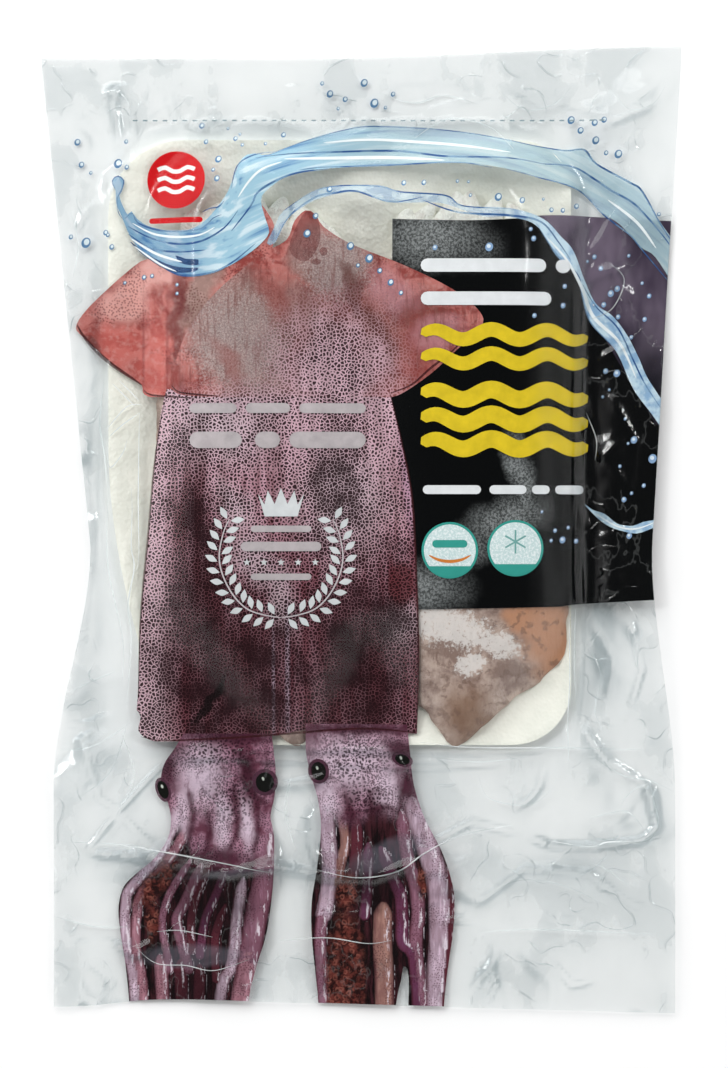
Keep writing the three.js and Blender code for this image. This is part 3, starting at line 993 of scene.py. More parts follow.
ARMS_DRAWN = [  # width, colour, then the arm's line
    (4.2, "pale", [(-63, -96.4), (-67.9, -109), (-74.8, -117.8), (-79.9, -123.9), (-80.9, -128.6),
        (-81.1, -135.6), (-80.1, -144.5), (-78.2, -154), (-77, -176)]),
    (4, "pink", [(-58.3, -100.2), (-65, -111.2), (-70.7, -119.1), (-75.8, -125.5), (-77, -131.8),
        (-77.4, -138.1), (-76.9, -145.8), (-75.2, -154), (-73.8, -176)]),
    (3.2, "mauve", [(-58.3, -112.7), (-64.4, -122.3), (-67.2, -128.6), (-68.4, -135), (-67.7, -140.1),
        (-65.6, -150.7)]),
    (4.4, "mauve", [(-54.8, -114.5), (-60.4, -127.4), (-63.3, -133.1), (-62.3, -138.8), (-59.2, -150.4)]),
    (3.6, "purple", [(-46.3, -115.5), (-50.1, -125.5), (-53.6, -133.7), (-55.4, -145.7)]),
    (3.4, "maroon", [(-51.6, -114), (-56, -124), (-58.4, -134), (-58, -144)]),
    (3.4, "maroon", [(-46.6, -128.4), (-49.4, -136.2), (-50.2, -141.3), (-49.8, -153.9)]),
    (4.6, "pale", [(-40.5, -119.5), (-42.6, -131.8), (-43.4, -141.3), (-44.7, -149.6), (-47.8, -156.6),
        (-50.5, -176)]),
    (8.8, "mauve", [(-33, -98), (-33.4, -119.1), (-35.4, -128.6), (-37.1, -138.1), (-38.6, -147.7)]),
    (8.6, "pink", [(-37.6, -141), (-39, -149.7), (-41.2, -162.3), (-42.2, -176)]),
    (5.4, "pink", [(-69.2, -146), (-68.4, -154), (-67.9, -176)]),
    (5, "maroon", [(-62.4, -148), (-61.6, -158), (-61.4, -176)]),
    (4.6, "maroon", [(-55.4, -149), (-55.6, -158), (-56.4, -176)]),
    (6.4, "pale", [(-12.8, -92.7), (-10.9, -112.8), (-11.2, -122.3), (-12.9, -131.6)]),
    (4.8, "mauve", [(-13, -129), (-14.2, -140.1), (-13.6, -150.7), (-13, -176)]),
    (4, "salmon", [(-6.9, -94.4), (-5.6, -107.1), (-6.9, -113.4), (-8, -121.1)]),
    (4.6, "maroon", [(-2, -98.4), (-1.6, -107.1), (-2.6, -116.4), (-4, -124.1)]),
    (4.4, "purple", [(2.3, -107.5), (2, -122.3), (1, -131.9)]),
    (5, "purple", [(6.6, -108.8), (10.7, -119.1), (13.4, -125.5), (13.9, -133.7), (14.2, -141.3),
        (18.2, -147.7), (20.2, -176)]),
    (5.4, "mauve", [(13.6, -96.7), (15.8, -112.8), (18.6, -122.3), (19.4, -131.8), (18.7, -144.5),
        (22.6, -176)]),
    (8.8, "pale", [(17.4, -92.2), (23, -109.6), (25.7, -119.1), (26.9, -128.6), (27, -141.3), (26, -154),
        (24.8, -176)]),
    (3.2, "maroon", [(30, -116), (31, -128), (30.4, -140), (29, -154), (27.8, -176)]),
    (7.4, "salmon", [(7.5, -128.3), (7.2, -141.3), (7.8, -154), (7.8, -176)]),
]
ARMS_FROM = [
    (-84, -114), (-70, -103), (-62, -101), (-57, -112), (-52, -114.5), (-44, -116.5), (-36, -113),
    (-30, -100), (-19, -92), (-10, -97), (-6, -102), (0, -100), (3, -97), (12, -97), (16, -92), (30, -94)]
LOBE_LINES = [
    [(-52.6, -96.9), (-52, -103.2), (-53.3, -109.6), (-54.5, -113.4)],
    [(-43.7, -88), (-43.1, -95.6), (-42.5, -103.2), (-45, -109)],
    [(-35.5, -93.6), (-35.5, -103.2), (-36.8, -109.6)],
    [(-59, -90.6), (-57.7, -98.2), (-59, -105.8), (-60.2, -113.4)],
    [(-55, -113), (-50, -116), (-45, -117.4), (-38, -114.6), (-31, -112)],
    [(-38.6, -78), (-40, -84), (-37.6, -90), (-33, -93.4)],
    [(-5.5, -91.1), (-3.6, -98.2), (-5.5, -105.8), (-6.1, -113.4)],
    [(2.8, -89.8), (3.4, -98.2), (0.9, -102), (-2.9, -103.2)],
    [(16.1, -84.1), (13.6, -91.8), (12.9, -99.4)],
    [(3, -96), (9, -95), (14, -98)],
]
SAMPLE_STEP = 0.8
ARM_REACH = 6  # how far from a line its arm can be
LOBE_WIDTH = 1.1
EYES = [
    (-33.1, -86.4, 3.1, 3.4, 0), (-68, -89, 1.7, 3.2, 20), (-14.7, -82.6, 2.5, 3.2, 12),
    (14, -78.6, 2.6, 1.7, -20)]


def sampled(lines):
    """A tree of the points along some lines, and what each is: its line, its direction and its fullness."""
    points = []
    for number, line in enumerate(lines):
        drawn = curve(line, closed=False, step=SAMPLE_STEP)
        for i, spot in enumerate(drawn):
            points.append((spot, number, ahead_at(drawn, i).normalized(), min(1, 0.35 + i / 9)))
    tree = KDTree(len(points))
    for i, point in enumerate(points):
        tree.insert((*point[0], 0), i)
    tree.balance()
    return tree, points


def mark_arms(mesh):
    """Writes on each point the arm that it is on: its colour, how round it is there, and the side."""
    shape = bmesh.new()
    shape.from_mesh(mesh)
    bmesh.ops.subdivide_edges(shape, edges=shape.edges[:], cuts=1, use_grid_fill=True)
    bmesh.ops.triangulate(shape, faces=shape.faces[:])
    shape.to_mesh(mesh)
    shape.free()
    tree, points = sampled([line for _, _, line in ARMS_DRAWN])
    lobes = sampled(LOBE_LINES)[0]
    tones = mesh.attributes.new("arm_tone", "FLOAT_COLOR", "POINT")
    forms = mesh.attributes.new("arm_form", "FLOAT_VECTOR", "POINT")
    for vert in mesh.vertices:
        spot = Vector((vert.co.x / MM, vert.co.y / MM))
        best, side, tone = 0, 0, rgb(*TONES["maroon"])
        for co, i, far in tree.find_range((*spot, 0), ARM_REACH):
            _, number, ahead, taper = points[i]
            width, name, _ = ARMS_DRAWN[number]
            off = far / (width / 2 * taper)
            relief = math.sqrt(max(1 - off * off, 0))
            if relief > best:
                best = relief
                side = off * (1 if ahead.cross(spot - co.to_2d()) < 0 else -1)
                tone = rgb(*TONES[name])
        for (west, high), (east, low) in zip(ARMS_FROM, ARMS_FROM[1:]):
            if west <= spot.x < east:
                start = high + (low - high) * (spot.x - west) / (east - west)
        begun = smooth((start - spot.y) / 7 + 0.4) if -84 < spot.x < 30 else 1
        lobe = math.exp(-(lobes.find((*spot, 0))[2] / LOBE_WIDTH) ** 2)
        tones.data[vert.index].color = (*tone[:3], best)
        forms.data[vert.index].vector = (side, begun, lobe)


def sucker_rings(here, size):
    """Rings about size apart: bright on the ring, and dark in its cup and between the rings."""
    cells = here.node("TexVoronoi", {"Vector": here, "Scale": 1 / size, "Randomness": 0.7},
                      voronoi_dimensions="2D")
    return between(cells, 0.46, 0.34) - 0.8 * between(cells, 0.22, 0.12)


def arm_skin_tone(here):
    tone = here.node("Attribute", attribute_name="arm_tone")
    relief = here.node("Attribute", output="Alpha", attribute_name="arm_tone")
    side = here.node("Attribute", output="Vector", attribute_name="arm_form").part("X")
    streaks = between(grain(here, 2.6, 3, 0.65, (0.4, 5), 4), 0.3, 0.7)
    hollow = between(grain(here, 5, 3, 0.6, (0.5, 3), 4), 0.4, 0.68)
    hollow = mixed(here, hollow, rgb(16, 5, 7), rgb(62, 27, 34))
    blotches = between(grain(here, 5, 4, 0.65, (0.6, 2.2)), 0.36, 0.62)
    dim = mixed(here, 0.5 + 0.4 * streaks, tone, rgb(84, 34, 46))
    arm = mixed(here, between(relief, 0.6, 1) * (0.2 + 0.8 * streaks) * (0.35 + 0.65 * blotches), dim, tone)
    arm = mixed(here, between(relief, 0.82, 0.22), arm, rgb(18, 5, 9))
    shine = between((side - 0.4).math("ABSOLUTE", side + 0.4), 0.32, 0.05)
    wet = shine * between(grain(here, 2.2, 3, 0.65, (0.6, 2.6), 6), 0.5, 0.6)
    arm = mixed(here, wet * 0.75, arm, rgb(240, 228, 238))
    specks = spots(here, 0.85, 0.24) * between(grain(here, 8, 2), 0.42, 0.58)
    arm = mixed(here, specks * 0.6, arm, rgb(62, 22, 36))
    beds = patches(shifted(here, 4, 3), [
        (-70.5, -121, 3.4, 9, -38, 0.4), (-71.6, -134, 2.2, 7, 0, 0.5), (-5.4, -124, 3.6, 6, 0, 0.5),
        (-5.6, -154, 6.6, 22, 0, 0.3), (20.6, -121, 1.6, 5, 0, 0.5)])
    bed = mixed(here, between(grain(here, 3, 3, 0.7), 0.38, 0.66), rgb(36, 12, 12), rgb(104, 48, 42))
    rings = sucker_rings(shifted(here, 3, 2.4), 2.3) * between(grain(here, 4, 2), 0.4, 0.62)
    bed = mixed(here, rings * 0.6, bed, rgb(158, 92, 80))
    arm = mixed(here, between(relief, 0.02, 0.3), hollow, arm)
    arm = painted(shifted(here, 6, 5), arm, [(0.65, (20, 6, 10), [
        (-50, -127, 13, 11, 0, 0.5), (4, -120, 9, 9, 0, 0.6), (-56, -160, 8, 12, 0, 0.6)])])
    return mixed(here, beds, arm, bed)


def head_ink(here):
    form = here.node("Attribute", output="Vector", attribute_name="arm_form")
    uneven = shifted(here, 6, 4)
    soft = between(grain(uneven, 7, 4, 0.65), 0.35, 0.65)
    tone = mixed(here, soft, rgb(104, 58, 74), rgb(172, 126, 146))
    tone = painted(uneven, tone, [
        (0.8, (226, 204, 220), [
            (-55, -84, 7, 10, 0, 0.8), (-62, -99, 3, 13, -14, 0.8), (-47.5, -99, 2.6, 10, 4, 0.8),
            (-39, -101, 2.2, 8, 6, 0.8), (-4, -80, 15, 9, 0, 0.9), (-12, -94, 4, 13, 0, 0.8),
            (9, -88, 6, 9, 20, 0.8)]),
        (0.9, (62, 26, 40), [
            (-45, -70.6, 17, 3, 0, 0.7), (-39, -84, 2.4, 10, 14, 0.7), (-66, -82, 3, 6, 0, 0.8),
            (-48, -112, 9, 3, 0, 0.8), (0, -68, 20, 2, 0, 0.7), (5, -97, 4, 4, 0, 0.8),
            (-1, -107, 5, 11, 16, 0.8), (13, -75, 5, 3, -20, 0.7), (16, -88, 3, 7, 10, 0.8)])])
    tone = mixed(here, form.part("Z") * 0.85, tone, rgb(66, 28, 42))
    edges = grain(shifted(here, 3, 2.5), 3.4, 4, 0.65, (0.6, 1.8), 6)
    tone = mixed(here, between(edges, 0.5, 0.68) * 0.45, tone, rgb(88, 44, 62))
    fine = spots(here, 0.8, 0.28) * between(grain(here, 7, 2), 0.4, 0.56)
    bold = spots(shifted(here, 3, 2.4), 1.25, 0.3) * patches(uneven, [
        (-50, -76, 14, 6, 0, 0.6), (-44, -92, 9, 9, 0, 0.8), (-2, -78, 13, 10, 0, 0.7),
        (2, -92, 9, 7, 0, 0.8)])
    tone = mixed(here, largest([fine * 0.75, bold * 0.9]), tone, rgb(34, 13, 23))
    tone = mixed(here, form.part("Y"), tone, arm_skin_tone(here))
    # Grey veils where the film stands off the print: painted reflections of the film on the ink.
    with_painted_film_sheen = painted(shifted(here, 5, 3), tone, [
        (0.3, (124, 122, 134), [(-58, -146, 17, 3.8, 0, 0.3), (-43, -117.4, 14, 1.3, 6, 0.6),
                                 (9, -111, 13, 4.6, 22, 0.3)])])
    return ink(here, with_painted_film_sheen, 0.4)


heads = printed("squid_heads", "head", [curve(line) for line in HEADS.values()], finish("head_ink", head_ink))
mark_arms(heads.data)
printed("eye_sockets", "water", [oval(x, y, w * 1.45, h * 1.35, turn) for x, y, w, h, turn in EYES],
        finish("socket_ink", plain_ink(92, 54, 72, 0.7)))
printed("eyes", "water_lines", [oval(*eye) for eye in EYES],
        finish("eye_ink", plain_ink(16, 17, 14, roughness=0.2)))
printed("eye_lights", "glints",
        [oval(x - w * 0.2, y + h * 0.35, 0.42, 0.7, 20, 10) for x, y, w, h, _ in EYES],
        finish("eye_light_ink", plain_ink(206, 210, 200)))

# ---- The printed splash ----
# A ribbon of water in blue inks that swings over the squid and past the dark panel, with darker lines
# along its flow, white lights, and drops thrown off it.
RIBBON = [
    (-84.2, 116.4), (-85.4, 119.6), (-83.4, 121.3), (-81.3, 119.8), (-82.1, 116.6), (-82.9, 114.8),
    (-82.1, 111.8), (-80.1, 108), (-78.7, 109.1), (-77, 106.7), (-73.6, 104.3), (-68.4, 102.6),
    (-62.6, 101.7), (-57.5, 102.6), (-52.3, 106), (-47.8, 111.5), (-45.4, 115.2), (-43, 121.1),
    (-40.3, 126.9), (-36.2, 128.3), (-31.7, 127.9), (-19.7, 133.1), (-7, 136.9), (3.9, 138.6),
    (25.2, 137.5), (42.4, 135.1), (59.5, 131.7), (69.8, 130.3), (76.7, 130.5), (80.8, 125.6), (92.1, 119.4),
    (96.2, 116.6), (102.4, 105.6), (108, 98, 0), (108, 82, 0), (100.7, 93.6), (95.5, 97.1), (88.7, 104.6),
    (83.5, 108), (78.4, 113.2), (73.9, 116.6), (59.5, 120.8), (49.2, 123.1), (33.8, 124.9), (13.2, 124.9),
    (-11.5, 123.5), (-23.2, 121.4), (-31.7, 115.9), (-34.1, 112.2), (-32.8, 106.3), (-31.4, 101.2),
    (-34.5, 97), (-39.6, 93), (-45.4, 89.5), (-52.3, 87.1), (-58.1, 86.1), (-64.3, 87.5), (-71.2, 92.3),
    (-76.3, 96.4), (-79.7, 101.5), (-81.8, 106.7), (-83.9, 111.8)]
THIN_RIBBON = [
    (-32.1, 97.4), (-29.3, 103.6), (-26.6, 108.4), (-17, 114.6), (-8.7, 117.3), (5.7, 117.3), (13.2, 114.9),
    (28.6, 113.9), (34.5, 110.4), (50.9, 109.4), (61.9, 106), (68.1, 100.2), (72.5, 95.4), (76.3, 85.8),
    (80.4, 77.5), (85.9, 73.4), (90.7, 67.2), (94.8, 59.3), (97.9, 52.1), (103.8, 43.2, 0), (108, 38, 0),
    (104, 33, 0), (99, 40.1), (94.5, 46), (91.8, 50.8), (87, 61.4), (78.4, 71), (75.3, 80.6), (73.9, 87.1),
    (66.4, 93.6), (59.5, 103.6), (50.2, 106.4), (40.6, 106.7), (26.9, 111.1), (9.8, 111.5), (-1.9, 115),
    (-14.2, 112.8), (-22.5, 108), (-25.9, 104.4), (-29.4, 97.6)]
SPLASHLET = [
    (76.3, 8.9), (79.1, 6.9), (83.2, 5.5), (87.6, 2.1), (92.8, 1.4), (96.2, 2.7), (101, 3.8), (104.7, 6.9),
    (104.7, 2.7), (99, 0.4), (94.2, -1.2), (89.4, -0.4), (85.2, 1), (81.1, 3.8)]
DEEPS = [
    [(-79, 98.6), (-73.1, 94.2), (-65.2, 90.3), (-59.1, 89.2), (-55.4, 89.2), (-57.3, 87.7), (-65.2, 88.2),
     (-74.4, 93.9)],
    [(-63.4, 93.6), (-59.9, 92.3), (-55.4, 91.9), (-55.4, 90.1), (-59.9, 90.3), (-62.6, 91.6)],
]
FLOW_LINES = [  # width, then the line
    (0.9, [(-81, 106.6), (-78.4, 108.4), (-76.6, 105.2), (-70, 102.6), (-62.6, 101.8), (-54.7, 102.5),
        (-50.3, 106.1), (-47.6, 107.2)]),
    (1, [(-80, 104), (-72.2, 99.9), (-63.4, 97.5), (-54.7, 98.2), (-46.8, 102.6), (-42, 108.6)]),
    (0.9, [(-79.8, 101.3), (-72.2, 96.4), (-62.6, 94.7), (-53, 95.2)]),
    (1, [(-79.2, 98.6), (-70.9, 92.1), (-61.7, 86.8), (-51.2, 87.4), (-43.8, 91), (-36, 97.4)]),
    (0.6, [(-84.3, 116.4), (-85.4, 119.6), (-83.4, 121.2), (-81.4, 119.6), (-82.2, 116.2), (-83.6, 113.4),
        (-83.2, 108.6), (-81.6, 106.4)]),
    (1, [(-44.2, 101.6), (-37.6, 110.2), (-35.4, 114.6), (-29.8, 118.4), (-21.4, 121.7), (-11, 123.4)]),
    (0.6, [(-44.2, 116.1), (-43.3, 120.9), (-41.4, 125), (-36.2, 127.9), (-29, 129)]),
    (0.6, [(-54.2, 108.1), (-51.5, 109.4), (-48.7, 109.8), (-46.6, 112)]),
    (0.5, [(-30.7, 128.4), (-19.7, 132.9), (-7, 136.7), (3.9, 138.2), (25.2, 137.2), (42.4, 134.9),
        (59.5, 131.5), (69.8, 130.1)]),
    (0.9, [(58.5, 131.6), (69.8, 130), (76.3, 130.2), (80.6, 125.4), (92.1, 119), (96.2, 116), (102.4, 105),
        (107, 98)]),
    (1, [(-36.1, 126.7), (-24.5, 128.3), (-10.8, 129.3), (12.2, 129.7), (29.3, 127.3), (50.9, 126.9),
        (63.6, 124.9)]),
    (1, [(60.6, 125.3), (72.2, 124.5), (80.1, 120.1), (85.2, 116.6), (93.8, 111.5), (102.4, 102),
        (106.6, 96.4)]),
    (0.7, [(-21.1, 122.6), (-11.5, 124), (16.6, 124.9), (33.8, 125), (44.4, 123.3)]),
    (0.7, [(49.2, 123), (59.5, 120.6), (73.9, 116.6), (83.5, 107.6), (92.1, 101), (95.5, 96.9),
        (106.5, 83.7)]),
    (0.9, [(-29.4, 98.2), (-25.6, 105.2), (-21.5, 109.4), (-14.9, 113.6), (-8.7, 114.8), (-1.9, 115.4),
        (9.8, 111.7), (20.8, 113.2)]),
    (0.7, [(-26.6, 108.4), (-17, 114.8), (-8.7, 117.2), (5.7, 117.2), (13.2, 115.1), (28.6, 113.7),
        (34.5, 110.2), (50.9, 109.2)]),
    (1, [(20.8, 112.2), (33.1, 108), (50.2, 107), (61, 105), (67.4, 98), (71.6, 92)]),
    (0.7, [(59.5, 104.4), (66.4, 94.2), (73.9, 87.4), (75.5, 80.6), (78.4, 71.4), (87, 62)]),
    (0.8, [(75.8, 84), (80.4, 76.5), (87.9, 69), (93, 58.3), (97, 50.1), (102.8, 41.2)]),
]
FLOW_LIGHTS = [
    (0.8, [(-78.4, 105), (-71, 101.2), (-62.6, 99.8), (-55, 100.4), (-49.8, 103)]),
    (0.9, [(-79, 99.8), (-70.2, 94.4), (-61, 91.2)]),
    (0.7, [(-77.8, 97.2), (-69.2, 91), (-63, 88)]),
    (0.8, [(-42, 113), (-38.2, 118.6), (-33.7, 122.8), (-27, 125.4)]),
    (1.2, [(-26.5, 126.4), (-10.8, 127.2), (10.2, 127.4), (28.3, 125.9)]),
    (1, [(-13, 132.6), (5.2, 133.6), (28.3, 131.9), (50.9, 129)]),
    (1.2, [(63.2, 99.6), (70, 92.4), (75.4, 83), (79.4, 73.2), (88.4, 64), (94, 52)]),
    (1, [(84.4, 113.2), (94.4, 105.4), (101, 96.6)]),
    (0.6, [(80.1, 5.6), (87.2, 1.4), (93.8, 0.4), (100.8, 2.8)]),
]
FLOW_CENTRES = {"arch": (13.7, 3), "bowl": (-57, 122)}
DROPS = [
    (-85.5, 96.9, 0.9), (-83.4, 125.5, 1.5), (-80.4, 124.2, 0.8), (-80.6, 133, 0.7), (-86.9, 101, 0.7),
    (-48.8, 126.4, 1.2), (-49.2, 119.6, 1), (-50.5, 122.7, 0.7), (-54.7, 138.5, 1), (-53.2, 132.8, 0.8),
    (-43.1, 133.8, 0.8), (-41.6, 135.4, 0.5), (-40.7, 131.5, 0.6), (-32.8, 131.9, 0.6), (-26.7, 135.2, 0.9),
    (-45.7, 137.5, 0.5), (-97.4, 132.9, 1.1), (-96, 125.2, 1), (-92.8, 122.4, 0.6), (-94.4, 98.4, 1.7),
    (-99.6, 100.4, 0.8), (-87.6, 101.8, 0.9), (-81, 84.6, 0.6), (-74.4, 86.4, 0.8), (-71.6, 86.8, 0.7),
    (-62.8, 83.5, 0.6), (-62.8, 80.5, 0.6), (0.9, 153.2, 1.3), (4.4, 146.3, 1.5), (-10.8, 149.4, 1.2),
    (-5.6, 147.6, 0.9), (10.8, 149.4, 0.8), (8.2, 144.8, 0.6), (-13.5, 153, 0.7), (-8, 144.4, 0.6),
    (71.8, 140.4, 1.3), (75, 136.8, 1.1), (79.8, 139.4, 1.1), (83, 140.4, 1), (80.2, 133.4, 1.3),
    (83.8, 129.2, 0.8), (88, 128.8, 1.4), (101.9, 108.2, 0.7), (14.4, 118.2, 0.9), (21.2, 118.2, 0.9),
    (46.5, 113.2, 1.3), (54.7, 112.2, 1), (32.6, 118.6, 0.6), (36.4, 118.4, 0.5), (37, 113.8, 0.6),
    (64.8, 109.2, 0.8), (68.8, 109.2, 0.8), (73.6, 110.8, 0.9), (62, 112.8, 0.5), (-18.5, 100.8, 1.3),
    (-10.9, 116, 1), (-3.8, 96.6, 1.3), (2.6, 92.4, 1.4), (6.2, 88.2, 0.9), (9.9, 84.2, 1.1),
    (13.4, 80.6, 0.8), (-1.2, 90, 0.7), (-15.6, 106.8, 1)]
DARK_DROPS = [
    (43.4, 96.2, 1.4), (25, 96, 0.9), (58.6, 99.2, 0.9), (57.6, 102.4, 0.7), (68.8, 76.6, 0.9),
    (69.4, 83.2, 0.8), (58.8, 72.9, 0.8), (79.8, 93.6, 0.8), (82, 89.6, 0.8), (85.4, 81, 1.1),
    (83, 77.2, 0.9), (87.6, 82.6, 1), (87.9, 73, 0.8), (97, 72.2, 0.8), (92.4, 66, 0.7), (79.6, 77, 0.6),
    (96.2, 84.6, 0.6), (98.6, 80.2, 0.8), (83.6, 54.4, 0.9), (87.4, 53.6, 1.2), (84.8, 48, 0.5),
    (82.6, 45.6, 0.5), (90.2, 38, 0.5), (93.2, 30.8, 1.2), (99.6, 24.4, 1.5), (91.2, 29.6, 0.5),
    (88.4, 21.8, 0.6), (96.6, 15.2, 0.7), (92.4, 12.6, 0.6), (89.8, 10.4, 0.9), (85.4, 3, 0.6),
    (91.6, -2, 1), (66, -0.2, 0.7), (70.6, 0.8, 0.6), (68.6, -3.4, 1.1), (73.4, -3.8, 0.8),
    (64.6, -3.6, 0.6), (61.4, 6.2, 0.5), (77.4, 92, 0.5), (91.6, 94, 0.6)]


def beads(drops, across, along, east=0, north=0, turn=-25, sides=10):
    """An oval for each drop. Its size, and how far it is off the drop's middle, are in drop radii."""
    return [oval(x + r * east, y + r * north, r * across, r * along, turn, sides) for x, y, r in drops]


def swirl(here, centre, size):
    """Noise drawn out along rings round a centre."""
    off = here.node("VectorMath", {0: here, 1: (*centre, 0)}, operation="SUBTRACT")
    x = off.part("X")
    y = off.part("Y")
    flat = off.node("CombineXYZ", {"X": x, "Y": y})
    radius = flat.node("VectorMath", {0: flat}, output="Value", operation="LENGTH")
    turned = flat.node("CombineXYZ", {"X": radius / size, "Y": x.math("ARCTAN2", y, x) * 2.5})
    return turned.node("TexNoise", {"Vector": turned, "Scale": 1, "Detail": 3}, noise_dimensions="2D")


def water_ink(here):
    x = here.part("X")
    flow = here.node("Mix", {"Factor": between(x, -46, -36), 2: swirl(here, FLOW_CENTRES["bowl"], 3.4),
                             3: swirl(here, FLOW_CENTRES["arch"], 3)}, data_type="FLOAT")
    tone = mixed(here, between(flow, 0.28, 0.46), rgb(90, 140, 188), rgb(168, 206, 224))
    tone = mixed(here, between(flow, 0.5, 0.66), tone, rgb(218, 236, 244))
    clearer = between(x, -26, 24)
    tone = mixed(here, between(x, -46, -62) * 0.45, tone, rgb(70, 118, 166))
    tone = mixed(here, clearer * 0.55, tone, rgb(208, 228, 232))
    return ink(here, tone, 0.3, 0.86 - 0.4 * clearer)


def stream_ink(here):
    tone = mixed(here, between(grain(here, 6, 3, 0.6), 0.36, 0.62), rgb(146, 180, 212), rgb(206, 228, 240))
    x = here.part("X")
    return ink(here, tone, 0.3, 0.36 + 0.54 * between(x, 46, 64))


def flow_ink(here):
    """The lines along the flow: deep blue in some stretches, and pale and thin in others."""
    depth = between(grain(here, 9, 2), 0.42, 0.6)
    return ink(here, mixed(here, depth, rgb(132, 172, 206), rgb(54, 92, 146)), 0.45, 0.4 + 0.52 * depth)


printed("splash_ribbon", "water", [curve(RIBBON)], finish("water_ink", water_ink))
printed("splash_stream", "water", [curve(THIN_RIBBON), curve(SPLASHLET)], finish("stream_ink", stream_ink))
printed("splash_deeps", "water_lines", [curve(line) for line in DEEPS],
        finish("deep_ink", plain_ink(58, 96, 150, 0.7, unevenness=0.5)))
printed("splash_lines", "water_lines", [stroke(line, width * 0.72) for width, line in FLOW_LINES],
        finish("flow_ink", flow_ink), crossing=True)
printed("splash_lights", "glints", [stroke(line, width) for width, line in FLOW_LIGHTS],
        finish("flow_light_ink", plain_ink(244, 250, 252)))
printed("drops", "glints", beads(DROPS, 0.92, 1.1, sides=14), finish("drop_ink", plain_ink(94, 134, 172)))
printed("drop_hearts", "mark_fields", beads(DROPS, 0.56, 0.66, 0.12, 0.16),
        finish("drop_heart_ink", plain_ink(226, 238, 243)))
printed("dark_drops", "water", beads(DARK_DROPS, 0.92, 1.1, sides=14),
        finish("dark_drop_ink", plain_ink(138, 168, 204)))
printed("dark_drop_hearts", "water_lines", beads(DARK_DROPS, 0.5, 0.5, -0.1, 0.2, turn=0),
        finish("dark_drop_heart_ink", plain_ink(220, 232, 242)))

# ---- The printed marks ----
# Plain marks in white, yellow, red and teal: bars, waves, a round badge, two discs, and a laurel wreath
# with a crown and five stars. A dashed line shows where to tear. They carry no words.
PALE_BARS = [
    (20.1, 62.9, 90, 4.6), (66.2, 71.4, 90, 4.6), (20.1, 64.7, 78.7, 4.6), (20.8, 40.6, 13.7, 3),
    (43.4, 56.1, 13.7, 3), (57.9, 64.1, 13.7, 3), (66, 76, 13.7, 3)]
SKIN_BARS = [
    (-58.5, -42.4, 41.4, 3.4), (-39.3, -24.2, 41.4, 3.4), (-21.1, 1.5, 41.4, 3.4),
    (-58.5, -40.6, 30.6, 5.6), (-36.2, -27.6, 30.6, 5.6), (-24.5, 1.5, 30.6, 5.6), (-37.6, -17, 0.4, 2.2),
    (-41, -13.6, -5.6, 3.2), (-37.6, -17, -15.9, 2.2)]
WAVES = {"x": (20.1, 77.6), "length": 19.2, "swing": 1.7, "rows": [(66.4, 5), (58.2, 5), (46, 6),
                                                                 (37.6, 6), (29.2, 6)]}
BADGE = {"place": (-63.3, 119.6), "radius": 10, "bar": (-72.6, -54, 105.6, 1.9)}
BADGE_WAVES = {"half": 6.4, "length": 8.5, "swing": 0.9, "width": 1.5, "rows": (-3.6, 0, 3.6)}
DISCS = [(30, -6.9), (52.3, -6.2)]
DISC = {"radius": 9.6, "ring": 0.8, "cap_from": -5.4, "cap_steps": 14}
DISC_BAR = {"half": 6, "up": 2.2, "height": 2.6}
DISC_ARC = [(-7.2, -1.6), (-4, -3.2), (0, -3.8), (4, -3.2), (7.2, -1.6)]
DISC_FLAKE = {"up": 2.2, "radius": 4, "width": 0.6, "turn": 0.52}
STEM = [
    (-44.8, 3.8), (-46.9, -1), (-48.3, -8.6), (-47.2, -15.1), (-43.7, -22), (-38.9, -26.8), (-33.1, -28.9),
    (-27.3, -29.8)]
WREATH_AXIS = -27.3
LEAF = {"length": 4.7, "width": 2.2, "off": 2.7, "up": 1.4, "lean": 56}
LEAF_COUNTS = [(1, 13), (-1, 12)]  # outside the stem and inside it
CROWN = {"middle": -27.3, "foot": 4.6, "height": 9.6, "half": 5.6, "spread": 2.2}
CROWN_RIDGE = [(-1, 0.8), (-0.72, 0.42), (-0.58, 0.92), (-0.28, 0.44), (0, 1), (0.28, 0.44), (0.58, 0.92),
               (0.72, 0.42), (1, 0.8)]  # in halves of its width and in its height
STARS = {"first": -38.9, "step": 5.8, "y": -11, "radius": 1.3, "count": 5, "waist": 0.42}
WAVE_STEP = 2.4
TEAR_LINE = {"x": (-78.4, 81.8), "y": 140.3, "dash": 1.7, "height": 0.5}


def wave_line(x_from, x_to, y, length, swing):
    steps = round((x_to - x_from) / WAVE_STEP)
    places = [x_from + (x_to - x_from) * i / steps for i in range(steps + 1)]
    return [(x, y + swing * math.sin(2 * math.pi * (x - x_from) / length)) for x in places]


def leaf(x, y, turn):
    half, wide = LEAF["length"] / 2, LEAF["width"] / 2
    turn = Matrix.Rotation(math.radians(turn), 2)
    shape = curve([(-half, 0, 0), (0, wide), (half, 0, 0), (0, -wide)], step=0.7)
    return [Vector((x, y)) + turn @ spot for spot in shape]


def wreath_leaves():
    """Leaves on both sides of the stem, in pairs that lean up it, and the same mirrored."""
    line = curve(STEM, closed=False, step=0.4)
    leaves = []
    for sign, count in LEAF_COUNTS:
        for i in range(count):
            at = round((i + 0.25) / (count - 0.1) * (len(line) - 2))
            up = (line[at] - line[at + 1]).normalized()
            out = Vector((-up.y, up.x)) * sign
            centre = line[at] + out * LEAF["off"] + up * LEAF["up"]
            turn = math.degrees(math.atan2(up.y, up.x)) + sign * LEAF["lean"]
            leaves.append(leaf(*centre, turn))
    return leaves + [mirrored(shape[::-1]) for shape in leaves]


